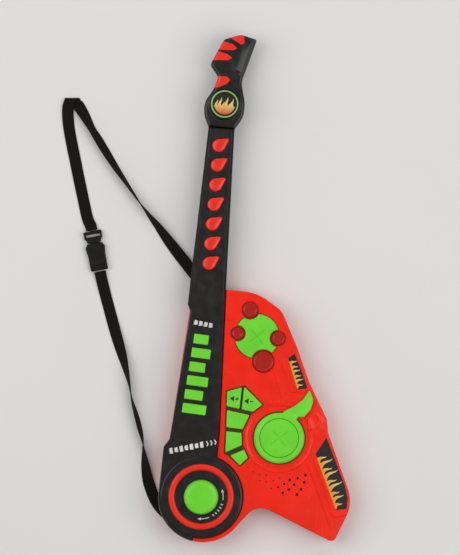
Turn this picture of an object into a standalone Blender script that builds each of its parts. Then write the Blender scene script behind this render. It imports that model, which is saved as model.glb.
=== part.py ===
"""Toy electric guitar lying on its back: red body, black neck, push keys, lever, knob and webbing strap.

Sizes are in millimetres, and become metres where a mesh is made. +X is to the right seen from the front,
+Y runs along the neck to the head, and +Z comes out of the front. X = 0 is the neck's centreline, Y = 0 is
level with the power knob, and Z = 0 is the flat back that the guitar rests on.
"""

import math

import bmesh
import bpy
from mathutils import Matrix, Vector

MM = 0.001
CHORD_ERROR = 0.12       # of the straight pieces that stand for an arc
TURNED_SIDES = 32        # sides of a turned piece

# Fits and walls
GAP = 0.3                # between pieces that touch
KEY_GAP = 0.4            # between a key and the edge of its hole
WALL = 2.2
KEY_TRAVEL = 1.5
KEY_LIP = 1.0            # how far a key's flange reaches under the edge of its hole
KEY_LIP_DEPTH = 1.6
KEY_EDGE = 0.8           # chamfer round a key's top
BOARD_DEPTH = 1.6
MAT_DEPTH = 2.0

# Depths, measured from the back that the guitar rests on
BODY_DEPTH = 38.0        # the red front face
BODY_PARTING = 20.0      # where the front and back shells meet
BACK_TAPER = 18.0        # how far the back's flat is set in from the body's outline
BACK_TAPER_DEPTH = 12.0
PANEL_RISE = 3.0         # the black panel above the red face
DISC_RISE = 2.0          # the round step below the knob, above the black panel
NECK_DEPTH = 25.0        # of the neck, front to back
NECK_FRONT_DEPTH = 12.0  # of that, the front shell

# Lengths along the guitar
NECK_FOOT = 247.0        # where the neck's back shell meets the body
NECK_TOP = 480.0         # where the neck meets the head
BODY_TOP = 271.0
BODY_RIGHT = 207.5       # the widest point, on the tail's side
TAIL_FOOT = -46.0

# Power knob, with its ring and round step
KNOB_CENTRE = (13.0, 0.0)
KNOB_RADIUS = 22.5
KNOB_HEIGHT = 12.0
KNOB_SHAFT_RADIUS = 4.0
DIAL_WIDTH = 12.0        # the bare band between the knob and its ring
RING_WIDTH = 8.0
RING_RISE = 2.8
DISC_MARGIN = 10.2       # from the ring to the round step's edge
PANEL_MARGIN = 1.6       # from the round step to the panel's own edge
RIM_WIDTH = 4.0          # of the red rim round the lower right of the lobe
LOBE_CENTRE = (15.0, -1.5)

# Big drum pad and the lever round it
DRUM_CENTRE = (107.7, 84.2)
DRUM_RADIUS = 25.0
DRUM_RISE = 4.4
HUB_WALL = 2.2
LEVER_WIDTH = 5.4        # of the ring outside its hub
LEVER_HEIGHT = 5.0
HORN_ANGLE = 62.0
HORN_LIFT = 1.0          # of the horn's underside above the red face

# Light pad and its four lenses: x, y, radius
LIGHT_PAD_CENTRE = (68.0, 213.8)
LIGHT_PAD_RADIUS = 29.0
LENSES = ((96.0, 213.2, 9.2), (56.4, 247.2, 10.4), (42.6, 215.5, 8.4), (79.0, 181.4, 14.0))
LENS_NOTCH = 2.0
LENS_RISE = 4.5
LENS_WALL = 1.5

# Key rows
FRET_KEYS = 7
FRET_PITCH = 25.6
FRET_START = 22.0        # from the neck's top down to the first key
FRET_RADIUS = 8.6
FRET_TIP = 18.0          # from the round's centre to the point
FRET_TIP_ANGLE = 38.0
FRET_RISE = 3.6
SOLO_WIDTHS = (19.5, 25.0, 21.0, 27.7, 24.0, 31.0)
SOLO_HEIGHT = 12.7
SOLO_PITCH = 18.2
SOLO_START = 203.8
SOLO_MARGIN = 9.9        # from the panel's left edge to a key's left end
SOLO_TILT = -3.0
FLAT_KEY_RISE = 2.6

# Badge on the head
BADGE_CENTRE = (1.3, 31.0)
BADGE_RADIUS = 18.0
BADGE_RING_WIDTH = 2.4
BOSS_MARGIN = 2.5
BOSS_RISE = 2.0

# Speaker, cells and their compartment in the back
SPEAKER_CENTRE = (112.0, 21.0)
SPEAKER_RADIUS = 25.0
SPEAKER_DEPTH = 20.0
CELL_RADIUS = 7.1
CELL_LENGTH = 49.5
CELL_PITCH = 14.9
CELLS_CENTRE = (75.0, 160.0)
CONTACT_ROOM = 3.5
COVER_TAB = 9.0          # the part of the cover that takes the screw
COVER_DEPTH = 2.2
LABEL_DEPTH = 0.4

# Strap
WEBBING_WIDTH = 15.0
WEBBING_DEPTH = 1.4
STRAP_BAR_CENTRE = (-11.0, -41.0)
STRAP_BAR_HEADING = -25.0
STRAP_POCKET_DEPTH = 7.0
BUCKLE_WIDTH = 24.0
BUCKLE_DEPTH = 8.0

# Heights that follow from the values above
PANEL_FRONT = BODY_DEPTH + PANEL_RISE
DISC_FRONT = PANEL_FRONT + DISC_RISE
NECK_BACK = PANEL_FRONT - NECK_DEPTH
NECK_PARTING = PANEL_FRONT - NECK_FRONT_DEPTH
PANEL_BOARD_TOP = PANEL_FRONT - WALL - 2 * GAP - KEY_LIP_DEPTH - KEY_TRAVEL - MAT_DEPTH - GAP
HUB_FOOT = BODY_DEPTH - WALL - 1.5
MAIN_BOARD_TOP = HUB_FOOT - GAP - KEY_LIP_DEPTH - KEY_TRAVEL - 2 * GAP

# Radii that follow
RING_INNER = KNOB_RADIUS + DIAL_WIDTH
RING_OUTER = RING_INNER + RING_WIDTH
DISC_RADIUS = RING_OUTER + DISC_MARGIN
PANEL_RADIUS = DISC_RADIUS + PANEL_MARGIN
LOBE_RADIUS = PANEL_RADIUS + RIM_WIDTH - 0.3
HUB_INNER = DRUM_RADIUS + KEY_GAP
HUB_OUTER = HUB_INNER + HUB_WALL
LEVER_RADIUS = HUB_OUTER + LEVER_WIDTH

# Edges of the black panel, shared by the shells that meet there
PANEL_RIGHT_TOP = (22.6, BODY_TOP)
PANEL_RIGHT_LOW = (29.4, 88.0)
PANEL_LEFT_TOP = (-20.8, 238.5)
PANEL_LEFT_LOW = (-34.2, 71.0)
LOBE_SHOULDER = (-41.0, 60.5)
NOTCH_RIGHT = 24.4       # the neck's socket in the back shell, on its right
CRESCENT_END = 262.0     # where the red rim ends, degrees round the lobe
CONCAVE_START = 318.0    # where the body's lower edge leaves the lobe

COLOURS = {
    "red_plastic": ((0.80, 0.035, 0.012, 1.0), 0.28, 0.0),
    "black_plastic": ((0.012, 0.011, 0.010, 1.0), 0.32, 0.0),
    "green_plastic": ((0.17, 0.60, 0.045, 1.0), 0.35, 0.0),
    "lens": ((0.36, 0.012, 0.0, 1.0), 0.12, 0.0),
    "flame_print": ((0.72, 0.42, 0.06, 1.0), 0.35, 0.0),
    "webbing": ((0.008, 0.007, 0.006, 1.0), 0.85, 0.0),
    "circuit_board": ((0.02, 0.16, 0.05, 1.0), 0.45, 0.0),
    "silicone": ((0.55, 0.55, 0.52, 1.0), 0.6, 0.0),
    "steel": ((0.6, 0.6, 0.6, 1.0), 0.3, 1.0),
    "cell_wrap": ((0.05, 0.09, 0.25, 1.0), 0.35, 0.0),
}


def clear_scene():
    for obj in list(bpy.data.objects):
        bpy.data.objects.remove(obj, do_unlink=True)


def make_material(name):
    material = bpy.data.materials.new(name)
    material.use_nodes = True
    shader = material.node_tree.nodes["Principled BSDF"]
    colour, roughness, metallic = COLOURS[name]
    shader.inputs["Base Color"].default_value = colour
    shader.inputs["Roughness"].default_value = roughness
    shader.inputs["Metallic"].default_value = metallic
    return material


# Outlines: closed, counterclockwise, from corners (x, y, radius) and arcs (x, y, radius, start, end)

def arc_steps(radius, degrees):
    """How many straight pieces stand for an arc."""
    step = 2 * math.degrees(math.acos(max(1.0 - CHORD_ERROR / radius, 0.7)))
    return max(1, math.ceil(abs(degrees) / step))


def control_points(items):
    """Corner and arc points of an outline, each with its radius and, on an arc, its outward direction."""
    points = []
    for item in items:
        if len(item) == 3:
            points.append((Vector(item[:2]), item[2], None))
            continue
        x, y, radius, start, end = item
        steps = max(2, arc_steps(radius, end - start))
        side = 1.0 if end > start else -1.0
        for step in range(steps + 1):
            angle = math.radians(start + (end - start) * step / steps)
            direction = Vector((math.cos(angle), math.sin(angle)))
            points.append((Vector((x, y)) + radius * direction, 0.0, side * direction))
    return points


def outline(items, grow=0.0):
    """The outline's points, moved outwards by grow; every value of grow gives the same number of points."""
    control = control_points(items)
    count = len(control)
    moved = []
    rounding = []
    for index, (point, radius, direction) in enumerate(control):
        before = (point - control[index - 1][0]).normalized()
        after = (control[(index + 1) % count][0] - point).normalized()
        turn = math.atan2(before.x * after.y - before.y * after.x, before.dot(after))
        steps = arc_steps(radius, math.degrees(turn)) if radius else 0
        if direction is None:
            side_before = Vector((before.y, -before.x))
            side_after = Vector((after.y, -after.x))
            direction = (side_before + side_after) / (1.0 + side_before.dot(side_after))
            bend = 1.0 if turn > 0.0 else -1.0
            radius = max(radius + bend * grow, 0.3) if radius else 0.0
        moved.append(point + grow * direction)
        rounding.append((radius, steps))
    points = []
    for index, (corner, (radius, steps)) in enumerate(zip(moved, rounding)):
        if not steps:
            points.append(corner)
            continue
        points.extend(fillet(moved[index - 1], corner, moved[(index + 1) % count], radius, steps))
    return points


def fillet(before, corner, after, radius, steps):
    """Points of an arc that rounds one corner, limited so that it stays inside the corner's two sides."""
    back = before - corner
    ahead = after - corner
    half = 0.5 * back.angle(ahead)
    reach = min(radius / math.tan(half), 0.48 * back.length, 0.48 * ahead.length)
    start = corner + back.normalized() * reach
    end = corner + ahead.normalized() * reach
    points = []
    for step in range(steps + 1):
        t = step / steps
        points.append((1 - t) ** 2 * start + 2 * t * (1 - t) * corner + t ** 2 * end)
    return points


def circle(centre, radius):
    steps = max(8, arc_steps(radius, 360.0))
    return [(centre[0], centre[1], radius, 0.0, 360.0 * (steps - 1) / steps)]


def rectangle(low, high, radius=1.0):
    return [(high[0], low[1], radius), (high[0], high[1], radius), (low[0], high[1], radius), (low[0], low[1], radius)]


def turned_about(points, centre, angle):
    """Corner points turned about a centre by an angle in degrees."""
    cos = math.cos(math.radians(angle))
    sin = math.sin(math.radians(angle))
    return [(centre[0] + x * cos - y * sin, centre[1] + x * sin + y * cos, radius) for x, y, radius in points]


def circle_crossing(centre, radius, angle, start):
    """The angle about centre where a circle round it meets the vertical line X = start, near angle."""
    rise = math.sqrt(radius ** 2 - (start - centre[0]) ** 2)
    side = 1.0 if math.sin(math.radians(angle)) > 0 else -1.0
    return math.degrees(math.atan2(side * rise, start - centre[0]))


def panel_left_edge(y):
    """X of the black panel's left edge beside the solo keys."""
    (top_x, top_y), (low_x, low_y) = PANEL_LEFT_TOP, PANEL_LEFT_LOW
    return top_x + (low_x - top_x) * (y - top_y) / (low_y - top_y)


def panel_outline():
    """Neck front and control panel in one outline, from the neck's top to the lobe."""
    leave = circle_crossing(KNOB_CENTRE, PANEL_RADIUS, 70.0, PANEL_RIGHT_LOW[0])
    return [
        (16.7, NECK_TOP, 1.0),
        (-17.2, NECK_TOP, 1.0),
        (-25.2, NECK_FOOT + 0.6, 1.0),
        (*PANEL_LEFT_TOP, 2.0),
        (*PANEL_LEFT_LOW, 6.0),
        (*LOBE_SHOULDER, 6.0),
        (*LOBE_CENTRE, LOBE_RADIUS, 180.0, CRESCENT_END),
        (*KNOB_CENTRE, PANEL_RADIUS, CRESCENT_END - 360.0, leave),
        (*PANEL_RIGHT_LOW, 30.0),
        (*PANEL_RIGHT_TOP, 30.0),
    ]


def right_side():
    """Corners up the body's right side, from the lower edge to the shoulder."""
    return [
        (86.0, -4.0, 26.0),
        (BODY_RIGHT - 18.0, TAIL_FOOT, 8.0),
        (BODY_RIGHT + 3.0, 8.0, 48.0),
        (BODY_RIGHT - 36.9, 96.5, 9.0),
        (BODY_RIGHT - 39.5, 113.0, 10.0),
        (BODY_RIGHT - 67.0, 160.5, 30.0),
        (BODY_RIGHT - 86.0, 203.5, 8.0),
        (BODY_RIGHT - 110.0, 249.5, 26.0),
        (BODY_RIGHT - 143.5, BODY_TOP - 1.0, 60.0),
    ]


def back_outline():
    """The whole body, with a socket at the top where the neck's back shell ends."""
    return [
        (NOTCH_RIGHT, NECK_FOOT - GAP, 1.0),
        (-21.4, NECK_FOOT - GAP, 1.0),
        (*PANEL_LEFT_LOW, 6.0),
        (*LOBE_SHOULDER, 6.0),
        (*LOBE_CENTRE, LOBE_RADIUS, 180.0, CONCAVE_START),
        *right_side(),
        (NOTCH_RIGHT, BODY_TOP, 2.0),
    ]


def front_outline(rim):
    """The red front, right of the black panel; rim adds the thin crescent round the lobe's lower right."""
    leave = circle_crossing(KNOB_CENTRE, PANEL_RADIUS + GAP, 70.0, PANEL_RIGHT_LOW[0] + GAP)
    corners = [
        (PANEL_RIGHT_TOP[0] + GAP, BODY_TOP, 1.0),
        (PANEL_RIGHT_LOW[0] + GAP, PANEL_RIGHT_LOW[1], 30.0),
    ]
    if rim:
        corners.append((*KNOB_CENTRE, PANEL_RADIUS + GAP, leave, CRESCENT_END + 1.0 - 360.0))
        corners.append((*LOBE_CENTRE, LOBE_RADIUS, CRESCENT_END + 1.0, CONCAVE_START))
    else:
        corners.append((*KNOB_CENTRE, PANEL_RADIUS + GAP, leave, -25.0))
    return corners + right_side()


def head_outline():
    """The head's outline, above where the neck ends."""
    corners = [
        (17.0, 0.0, 1.0), (27.6, 17.0, 30.0), (27.2, 36.0, 30.0), (20.4, 61.0, 30.0), (36.2, 118.0, 2.5),
        (15.0, 123.0, 14.0), (-6.5, 115.0, 9.0), (-21.8, 80.5, 6.0), (-10.0, 66.0, 9.0), (-15.0, 49.0, 24.0),
        (-25.6, 31.0, 30.0), (-24.2, 14.0, 30.0), (-17.3, 0.0, 1.0),
    ]
    return [(x, NECK_TOP + y, radius) for x, y, radius in corners]


def neck_back_outline():
    """Neck and head seen from behind: the head's outline carried down to the body."""
    head = head_outline()[1:-1]
    return [
        (23.3, NECK_FOOT, 1.0), (16.7, NECK_TOP, 8.0), *head, (-17.2, NECK_TOP, 8.0), (-25.2, NECK_FOOT, 1.0),
    ]


def fret_key_centre(index):
    return (0.0, NECK_TOP - FRET_START - index * FRET_PITCH)


def fret_key_outline(index):
    """A drop shape: a round with one point towards the upper right."""
    x, y = fret_key_centre(index)
    spread = math.degrees(math.acos(FRET_RADIUS / FRET_TIP))
    tip = math.radians(FRET_TIP_ANGLE)
    x -= 1.8
    y -= 1.4
    return [
        (x, y, FRET_RADIUS, FRET_TIP_ANGLE + spread, FRET_TIP_ANGLE - spread + 360.0),
        (x + FRET_TIP * math.cos(tip), y + FRET_TIP * math.sin(tip), 3.2),
    ]


def solo_key_centre(index):
    y = SOLO_START - index * SOLO_PITCH
    return (panel_left_edge(y) + SOLO_MARGIN + SOLO_WIDTHS[index] / 2, y)


def solo_key_outline(index):
    half_width = SOLO_WIDTHS[index] / 2
    half_height = SOLO_HEIGHT / 2
    corners = rectangle((-half_width, -half_height), (half_width, half_height), 1.2)
    return turned_about(corners, solo_key_centre(index), SOLO_TILT)


VOLUME_UP = [(53.2, 117.8, 1.5), (54.0, 146.2, 1.5), (35.2, 139.0, 1.5), (36.2, 120.0, 1.5)]
VOLUME_DOWN = [(71.0, 115.4, 1.5), (82.6, 125.7, 1.5), (57.0, 147.2, 1.5), (56.0, 117.4, 1.5)]
RHYTHM_PADS = (
    [(59.4, 91.6, 1.5), (67.0, 110.8, 1.5), (37.0, 114.9, 1.5), (38.0, 92.6, 1.5)],
    [(60.2, 71.0, 1.5), (58.6, 86.8, 1.5), (38.4, 87.4, 1.5), (39.4, 59.6, 1.5)],
    [(59.6, 44.4, 1.5), (69.4, 55.2, 1.5), (63.6, 65.4, 1.5), (45.8, 56.2, 1.5)],
)


def light_pad_outline():
    """A disc with a round bite for each lens."""
    items = []
    x, y = LIGHT_PAD_CENTRE
    bites = []
    for lens_x, lens_y, lens_radius in LENSES:
        bite = lens_radius + LENS_NOTCH
        distance = math.hypot(lens_x - x, lens_y - y)
        angle = math.degrees(math.atan2(lens_y - y, lens_x - x)) % 360.0
        along = (LIGHT_PAD_RADIUS ** 2 + distance ** 2 - bite ** 2) / (2 * distance)
        spread = math.degrees(math.acos(along / LIGHT_PAD_RADIUS))
        bite_spread = math.degrees(math.acos((distance - along) / bite))
        bites.append((angle, spread, bite_spread, lens_x, lens_y, bite))
    bites.sort()
    for index, (angle, spread, bite_spread, lens_x, lens_y, bite) in enumerate(bites):
        next_angle, next_spread = bites[(index + 1) % len(bites)][:2]
        if next_angle < angle:
            next_angle += 360.0
        near = angle + 180.0 + bite_spread
        far = angle + 180.0 - bite_spread
        items.append((lens_x + bite * math.cos(math.radians(near)), lens_y + bite * math.sin(math.radians(near)), 0.8))
        items.append((lens_x, lens_y, bite, near - 8.0, far + 8.0))
        items.append((lens_x + bite * math.cos(math.radians(far)), lens_y + bite * math.sin(math.radians(far)), 0.8))
        items.append((x, y, LIGHT_PAD_RADIUS, angle + spread + 3.0, next_angle - next_spread - 3.0))
    return items


def horn_outline():
    """The lever's horn, measured outwards from the ring and across it."""
    corners = (
        (-5.0, -2.0, 0.0), (-0.5, -6.2, 0.0), (3.6, -6.0, 1.0), (7.4, -12.4, 3.0), (20.0, -14.6, 10.0),
        (33.0, -10.8, 12.0), (40.8, 0.4, 1.2), (26.0, 1.0, 12.0), (13.4, 5.4, 8.0), (0.0, 13.4, 0.0),
        (-9.5, 15.4, 0.0),
    )
    placed = [(LEVER_RADIUS + along, across, radius) for along, across, radius in corners]
    return turned_about(placed, DRUM_CENTRE, HORN_ANGLE)


# Meshes

def add_object(name, bm, material, origin=(0.0, 0.0, 0.0), smooth_angle=None):
    """An object from a mesh in millimetres, with its origin at the given point."""
    bmesh.ops.recalc_face_normals(bm, faces=bm.faces)
    bmesh.ops.translate(bm, verts=bm.verts, vec=-Vector(origin))
    bmesh.ops.scale(bm, verts=bm.verts, vec=(MM, MM, MM))
    mesh = bpy.data.meshes.new(name)
    bm.to_mesh(mesh)
    bm.free()
    if material:
        mesh.materials.append(material)
    if smooth_angle:
        mesh.shade_smooth()
        mesh.set_sharp_from_angle(angle=math.radians(smooth_angle))
    obj = bpy.data.objects.new(name, mesh)
    obj.location = Vector(origin) * MM
    bpy.context.scene.collection.objects.link(obj)
    return obj


def add_stack(bm, rings):
    """A closed solid through rings of (points, z), each with the same number of points."""
    layers = []
    for points, z in rings:
        layers.append([bm.verts.new((point[0], point[1], z)) for point in points])
    count = len(layers[0])
    for low, high in zip(layers, layers[1:]):
        for index in range(count):
            after = (index + 1) % count
            bm.faces.new((low[index], low[after], high[after], high[index]))
    bm.faces.new(reversed(layers[0]))
    bm.faces.new(layers[-1])


def stack(name, rings, material, origin=(0.0, 0.0, 0.0), smooth_angle=None):
    bm = bmesh.new()
    add_stack(bm, rings)
    return add_object(name, bm, material, origin, smooth_angle)


def plate(name, items, low, high, material, origin=(0.0, 0.0, 0.0)):
    points = outline(items)
    return stack(name, [(points, low), (points, high)], material, origin)


def turned(name, centre, profile, material, sides=TURNED_SIDES):
    """A piece turned about the vertical through centre, from a closed profile of (radius, z)."""
    bm = bmesh.new()
    rings = []
    for radius, z in profile:
        if radius == 0.0:
            rings.append([bm.verts.new((centre[0], centre[1], z))] * sides)
            continue
        ring = []
        for side in range(sides):
            angle = 2 * math.pi * side / sides
            ring.append(bm.verts.new((centre[0] + radius * math.cos(angle), centre[1] + radius * math.sin(angle), z)))
        rings.append(ring)
    for ring, following in zip(rings, rings[1:] + rings[:1]):
        for side in range(sides):
            after = (side + 1) % sides
            corners = list(dict.fromkeys((ring[side], ring[after], following[after], following[side])))
            if len(corners) > 2:
                bm.faces.new(corners)
    return add_object(name, bm, material, (centre[0], centre[1], 0.0), 35.0)


def cutter(name, shapes):
    """One hidden object with a separate solid for each shape, which is a list of rings."""
    bm = bmesh.new()
    for rings in shapes:
        add_stack(bm, rings)
    obj = add_object(name, bm, None)
    obj.hide_render = True
    obj.display_type = "WIRE"
    return obj


def combine(target, tool, operation):
    """Add a Boolean that cuts the tool from the target, or joins it on."""
    tool.hide_render = True
    tool.display_type = "WIRE"
    modifier = target.modifiers.new(tool.name, "BOOLEAN")
    modifier.operation = operation
    modifier.object = tool
    modifier.solver = "EXACT"


def prism(items, low, high, grow=0.0):
    points = outline(items, grow)
    return [(points, low), (points, high)]


def tray_rings(items, low, top, edge):
    """Outer rings of a shell that opens downwards, with a chamfer round its top."""
    return [(outline(items), low), (outline(items), top - edge), (outline(items, -edge), top)]


def hollow_rings(items, low, top, edge):
    """The hollow under a shell of WALL thickness."""
    inner = outline(items, -WALL)
    return [(inner, low - 1.0), (inner, top - WALL - edge), (outline(items, -WALL - edge), top - WALL)]


# Shells

def body_back_shell(red):
    items = back_outline()
    shell = stack("body_back_shell", [
        (outline(items, -BACK_TAPER), 0.0),
        (outline(items, -0.5 * BACK_TAPER), 0.42 * BACK_TAPER_DEPTH),
        (outline(items), BACK_TAPER_DEPTH),
        (outline(items), BODY_PARTING),
    ], red, smooth_angle=25.0)
    hollow = cutter("back_hollow", [[
        (outline(items, -BACK_TAPER - WALL), WALL),
        (outline(items, -0.5 * BACK_TAPER - WALL), 0.42 * BACK_TAPER_DEPTH + 1.2),
        (outline(items, -WALL), BACK_TAPER_DEPTH + 1.0),
        (outline(items, -WALL), BODY_PARTING + 1.0),
    ]])
    combine(hollow, cutter("strap_pocket_walls", [
        prism(strap_pocket(), -1.0, STRAP_POCKET_DEPTH + WALL, WALL),
    ]), "DIFFERENCE")
    combine(hollow, cutter("strap_channel_walls", [
        prism(strap_channel(), -1.2, STRAP_POCKET_DEPTH / 2 + WALL, WALL),
    ]), "DIFFERENCE")
    combine(shell, hollow, "DIFFERENCE")
    combine(shell, cutter("strap_pocket", [prism(strap_pocket(), -1.0, STRAP_POCKET_DEPTH)]), "DIFFERENCE")
    combine(shell, cutter("strap_channel", [prism(strap_channel(), -1.2, STRAP_POCKET_DEPTH / 2)]), "DIFFERENCE")
    low, high = cover_corners()
    box = plate("battery_box", rectangle((low[0] - WALL, low[1] - WALL), (high[0] + WALL, high[1] + WALL)),
                1.0, cell_ceiling() + WALL, None)
    combine(shell, box, "UNION")
    pocket_low, pocket_high = cell_pocket()
    combine(shell, cutter("cell_pocket", [
        prism(rectangle(pocket_low, pocket_high), 1.5, cell_ceiling()),
    ]), "DIFFERENCE")
    combine(shell, cutter("cover_recess", [
        prism(rectangle(low, high), -1.0, COVER_DEPTH + 2 * GAP, KEY_GAP),
    ]), "DIFFERENCE")
    combine(shell, cutter("screw_hole", [prism(circle(screw_centre(), 1.6), 1.5, 14.0)]), "DIFFERENCE")
    return shell


def strap_pocket():
    """The recess in the back for the strap's bar."""
    half = WEBBING_WIDTH / 2 + 2.0
    corners = rectangle((-11.0, -half), (9.0, half), 1.5)
    return turned_about(corners, STRAP_BAR_CENTRE, STRAP_BAR_HEADING)


def strap_channel():
    """The shallow way from the pocket out under the edge of the lobe."""
    half = WEBBING_WIDTH / 2 + 1.5
    corners = [(-10.0, -half, 0.5), (-10.0, half, 0.5), (-36.0, half + 3.0, 0.5), (-36.0, -half - 3.0, 0.5)]
    return turned_about(corners, STRAP_BAR_CENTRE, STRAP_BAR_HEADING)


def body_front_shell(red):
    items = front_outline(True)
    low = BODY_PARTING + GAP
    edge = 1.8
    shell = stack("body_front_shell", tray_rings(items, low, BODY_DEPTH, edge), red, smooth_angle=25.0)
    combine(shell, cutter("front_hollow", [hollow_rings(front_outline(False), low, BODY_DEPTH, edge)]), "DIFFERENCE")
    through = (BODY_DEPTH - WALL - 1.0, BODY_DEPTH + 1.0)
    shapes = [prism(items, *through, KEY_GAP) for items in (VOLUME_UP, VOLUME_DOWN, *RHYTHM_PADS)]
    shapes.append(prism(light_pad_outline(), *through, KEY_GAP))
    shapes.append(prism(circle(DRUM_CENTRE, HUB_OUTER), *through, KEY_GAP))
    shapes.extend(prism(circle((x, y), radius), *through, KEY_GAP) for x, y, radius in LENSES)
    combine(shell, cutter("front_holes", shapes), "DIFFERENCE")
    combine(shell, cutter("speaker_holes", [
        prism(circle(centre, 1.5), *through) for centre in speaker_holes()
    ]), "DIFFERENCE")
    recess = BODY_DEPTH - LABEL_DEPTH - 2 * GAP
    combine(shell, cutter("label_recesses", [
        prism(items, recess, BODY_DEPTH + 1.0, GAP) for items in (upper_label_outline(), lower_label_outline())
    ]), "DIFFERENCE")
    return shell


def neck_front_shell(black):
    """Fingerboard and control panel, with the round step for the knob."""
    items = panel_outline()
    low = BODY_PARTING + GAP
    edge = 1.2
    shell = stack("neck_front_shell", tray_rings(items, low, PANEL_FRONT, edge), black, smooth_angle=25.0)
    disc = stack("knob_step", [
        (outline(circle(KNOB_CENTRE, DISC_RADIUS)), PANEL_FRONT - 1.0),
        (outline(circle(KNOB_CENTRE, DISC_RADIUS)), DISC_FRONT - 0.8),
        (outline(circle(KNOB_CENTRE, DISC_RADIUS), -0.8), DISC_FRONT),
    ], None)
    combine(shell, disc, "UNION")
    combine(shell, cutter("panel_hollow", [hollow_rings(items, low, PANEL_FRONT, edge)]), "DIFFERENCE")
    under_neck = rectangle((-40.0, NECK_FOOT - GAP), (40.0, NECK_TOP + 10.0))
    combine(shell, cutter("neck_step", [prism(under_neck, low - 2.0, NECK_PARTING + GAP)]), "DIFFERENCE")
    shapes = [prism(fret_key_outline(index), PANEL_FRONT - WALL - 1.0, PANEL_FRONT + 1.0, KEY_GAP)
              for index in range(FRET_KEYS)]
    shapes.extend(prism(solo_key_outline(index), PANEL_FRONT - WALL - 1.0, PANEL_FRONT + 1.0, KEY_GAP)
                  for index in range(len(SOLO_WIDTHS)))
    shapes.append(prism(circle(KNOB_CENTRE, KNOB_SHAFT_RADIUS), PANEL_FRONT - WALL - 1.0, DISC_FRONT + 1.0, KEY_GAP))
    combine(shell, cutter("panel_holes", shapes), "DIFFERENCE")
    return shell


def head_front_shell(black):
    items = [(x, y + (GAP if y == NECK_TOP else 0.0), radius) for x, y, radius in head_outline()]
    low = NECK_PARTING + GAP
    edge = 2.0
    shell = stack("head_front_shell", tray_rings(items, low, PANEL_FRONT, edge), black, smooth_angle=25.0)
    radius = BADGE_RADIUS + BOSS_MARGIN
    boss = stack("badge_boss", [
        (outline(circle(badge_centre(), radius)), PANEL_FRONT - 1.0),
        (outline(circle(badge_centre(), radius)), PANEL_FRONT + BOSS_RISE - 1.0),
        (outline(circle(badge_centre(), radius), -1.0), PANEL_FRONT + BOSS_RISE),
    ], None)
    combine(shell, boss, "UNION")
    combine(shell, cutter("head_hollow", [hollow_rings(items, low, PANEL_FRONT, edge)]), "DIFFERENCE")
    return shell


def neck_back_shell(black):
    items = neck_back_outline()
    rounding = 0.5 * (NECK_PARTING - NECK_BACK)
    shell = stack("neck_back_shell", [
        (outline(items, -rounding), NECK_BACK),
        (outline(items, -0.4 * rounding), NECK_BACK + 0.35 * rounding),
        (outline(items), NECK_BACK + rounding),
        (outline(items), NECK_PARTING),
    ], black, smooth_angle=30.0)
    combine(shell, cutter("neck_hollow", [[
        (outline(items, -rounding - WALL), NECK_BACK + WALL),
        (outline(items, -WALL), NECK_BACK + rounding + 1.0),
        (outline(items, -WALL), NECK_PARTING + 1.0),
    ]]), "DIFFERENCE")
    return shell


# Keys, pads, lever and knob

def key(name, items, centre, face, rise, material):
    """A push key: a flange under the face, and a cap through it with a chamfered top."""
    lip_top = face - WALL - GAP
    top = face + rise
    cap = outline(items)
    lip = outline(items, KEY_LIP)
    return stack(name, [
        (lip, lip_top - KEY_LIP_DEPTH),
        (lip, lip_top),
        (cap, lip_top),
        (cap, top - KEY_EDGE),
        (outline(items, -KEY_EDGE), top),
    ], material, (centre[0], centre[1], face), 30.0)


def middle(items):
    return (sum(item[0] for item in items) / len(items), sum(item[1] for item in items) / len(items))


def keys(green, red):
    for index in range(FRET_KEYS):
        key(f"fret_key_{index + 1}", fret_key_outline(index), fret_key_centre(index), PANEL_FRONT, FRET_RISE, red)
    for index in range(len(SOLO_WIDTHS)):
        items = solo_key_outline(index)
        key(f"solo_key_{index + 1}", items, solo_key_centre(index), PANEL_FRONT, FLAT_KEY_RISE, green)
    key("volume_up_key", VOLUME_UP, middle(VOLUME_UP), BODY_DEPTH, FLAT_KEY_RISE, green)
    key("volume_down_key", VOLUME_DOWN, middle(VOLUME_DOWN), BODY_DEPTH, FLAT_KEY_RISE, green)
    for index, items in enumerate(RHYTHM_PADS):
        key(f"rhythm_pad_{index + 1}", items, middle(items), BODY_DEPTH, FLAT_KEY_RISE, green)
    key("light_pad", light_pad_outline(), LIGHT_PAD_CENTRE, BODY_DEPTH, FLAT_KEY_RISE, green)


def drum_pad(green):
    flange = HUB_FOOT - GAP
    top = BODY_DEPTH + DRUM_RISE
    return turned("drum_pad", DRUM_CENTRE, [
        (0.0, flange - KEY_LIP_DEPTH),
        (DRUM_RADIUS + KEY_GAP + KEY_LIP, flange - KEY_LIP_DEPTH),
        (DRUM_RADIUS + KEY_GAP + KEY_LIP, flange),
        (DRUM_RADIUS, flange),
        (DRUM_RADIUS, top - 1.0),
        (DRUM_RADIUS - 1.0, top),
        (0.0, top),
    ], green)


def whammy_lever(green):
    """The ring round the drum pad, with its hub through the face and its horn."""
    foot = BODY_DEPTH + GAP
    top = foot + LEVER_HEIGHT
    lever = turned("whammy_lever", DRUM_CENTRE, [
        (HUB_INNER, HUB_FOOT),
        (HUB_OUTER, HUB_FOOT),
        (HUB_OUTER, foot),
        (LEVER_RADIUS, foot),
        (LEVER_RADIUS, top - 2.2),
        (LEVER_RADIUS - 1.5, top - 0.6),
        (LEVER_RADIUS - 3.5, top),
        (HUB_INNER + 1.2, top - 0.4),
        (HUB_INNER, top - 1.4),
    ], green)
    items = horn_outline()
    horn = stack("horn", [
        (outline(items), BODY_DEPTH + HORN_LIFT),
        (outline(items), top - 1.8),
        (outline(items, -0.8), top - 1.0),
    ], None)
    combine(lever, horn, "UNION")
    return lever


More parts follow.
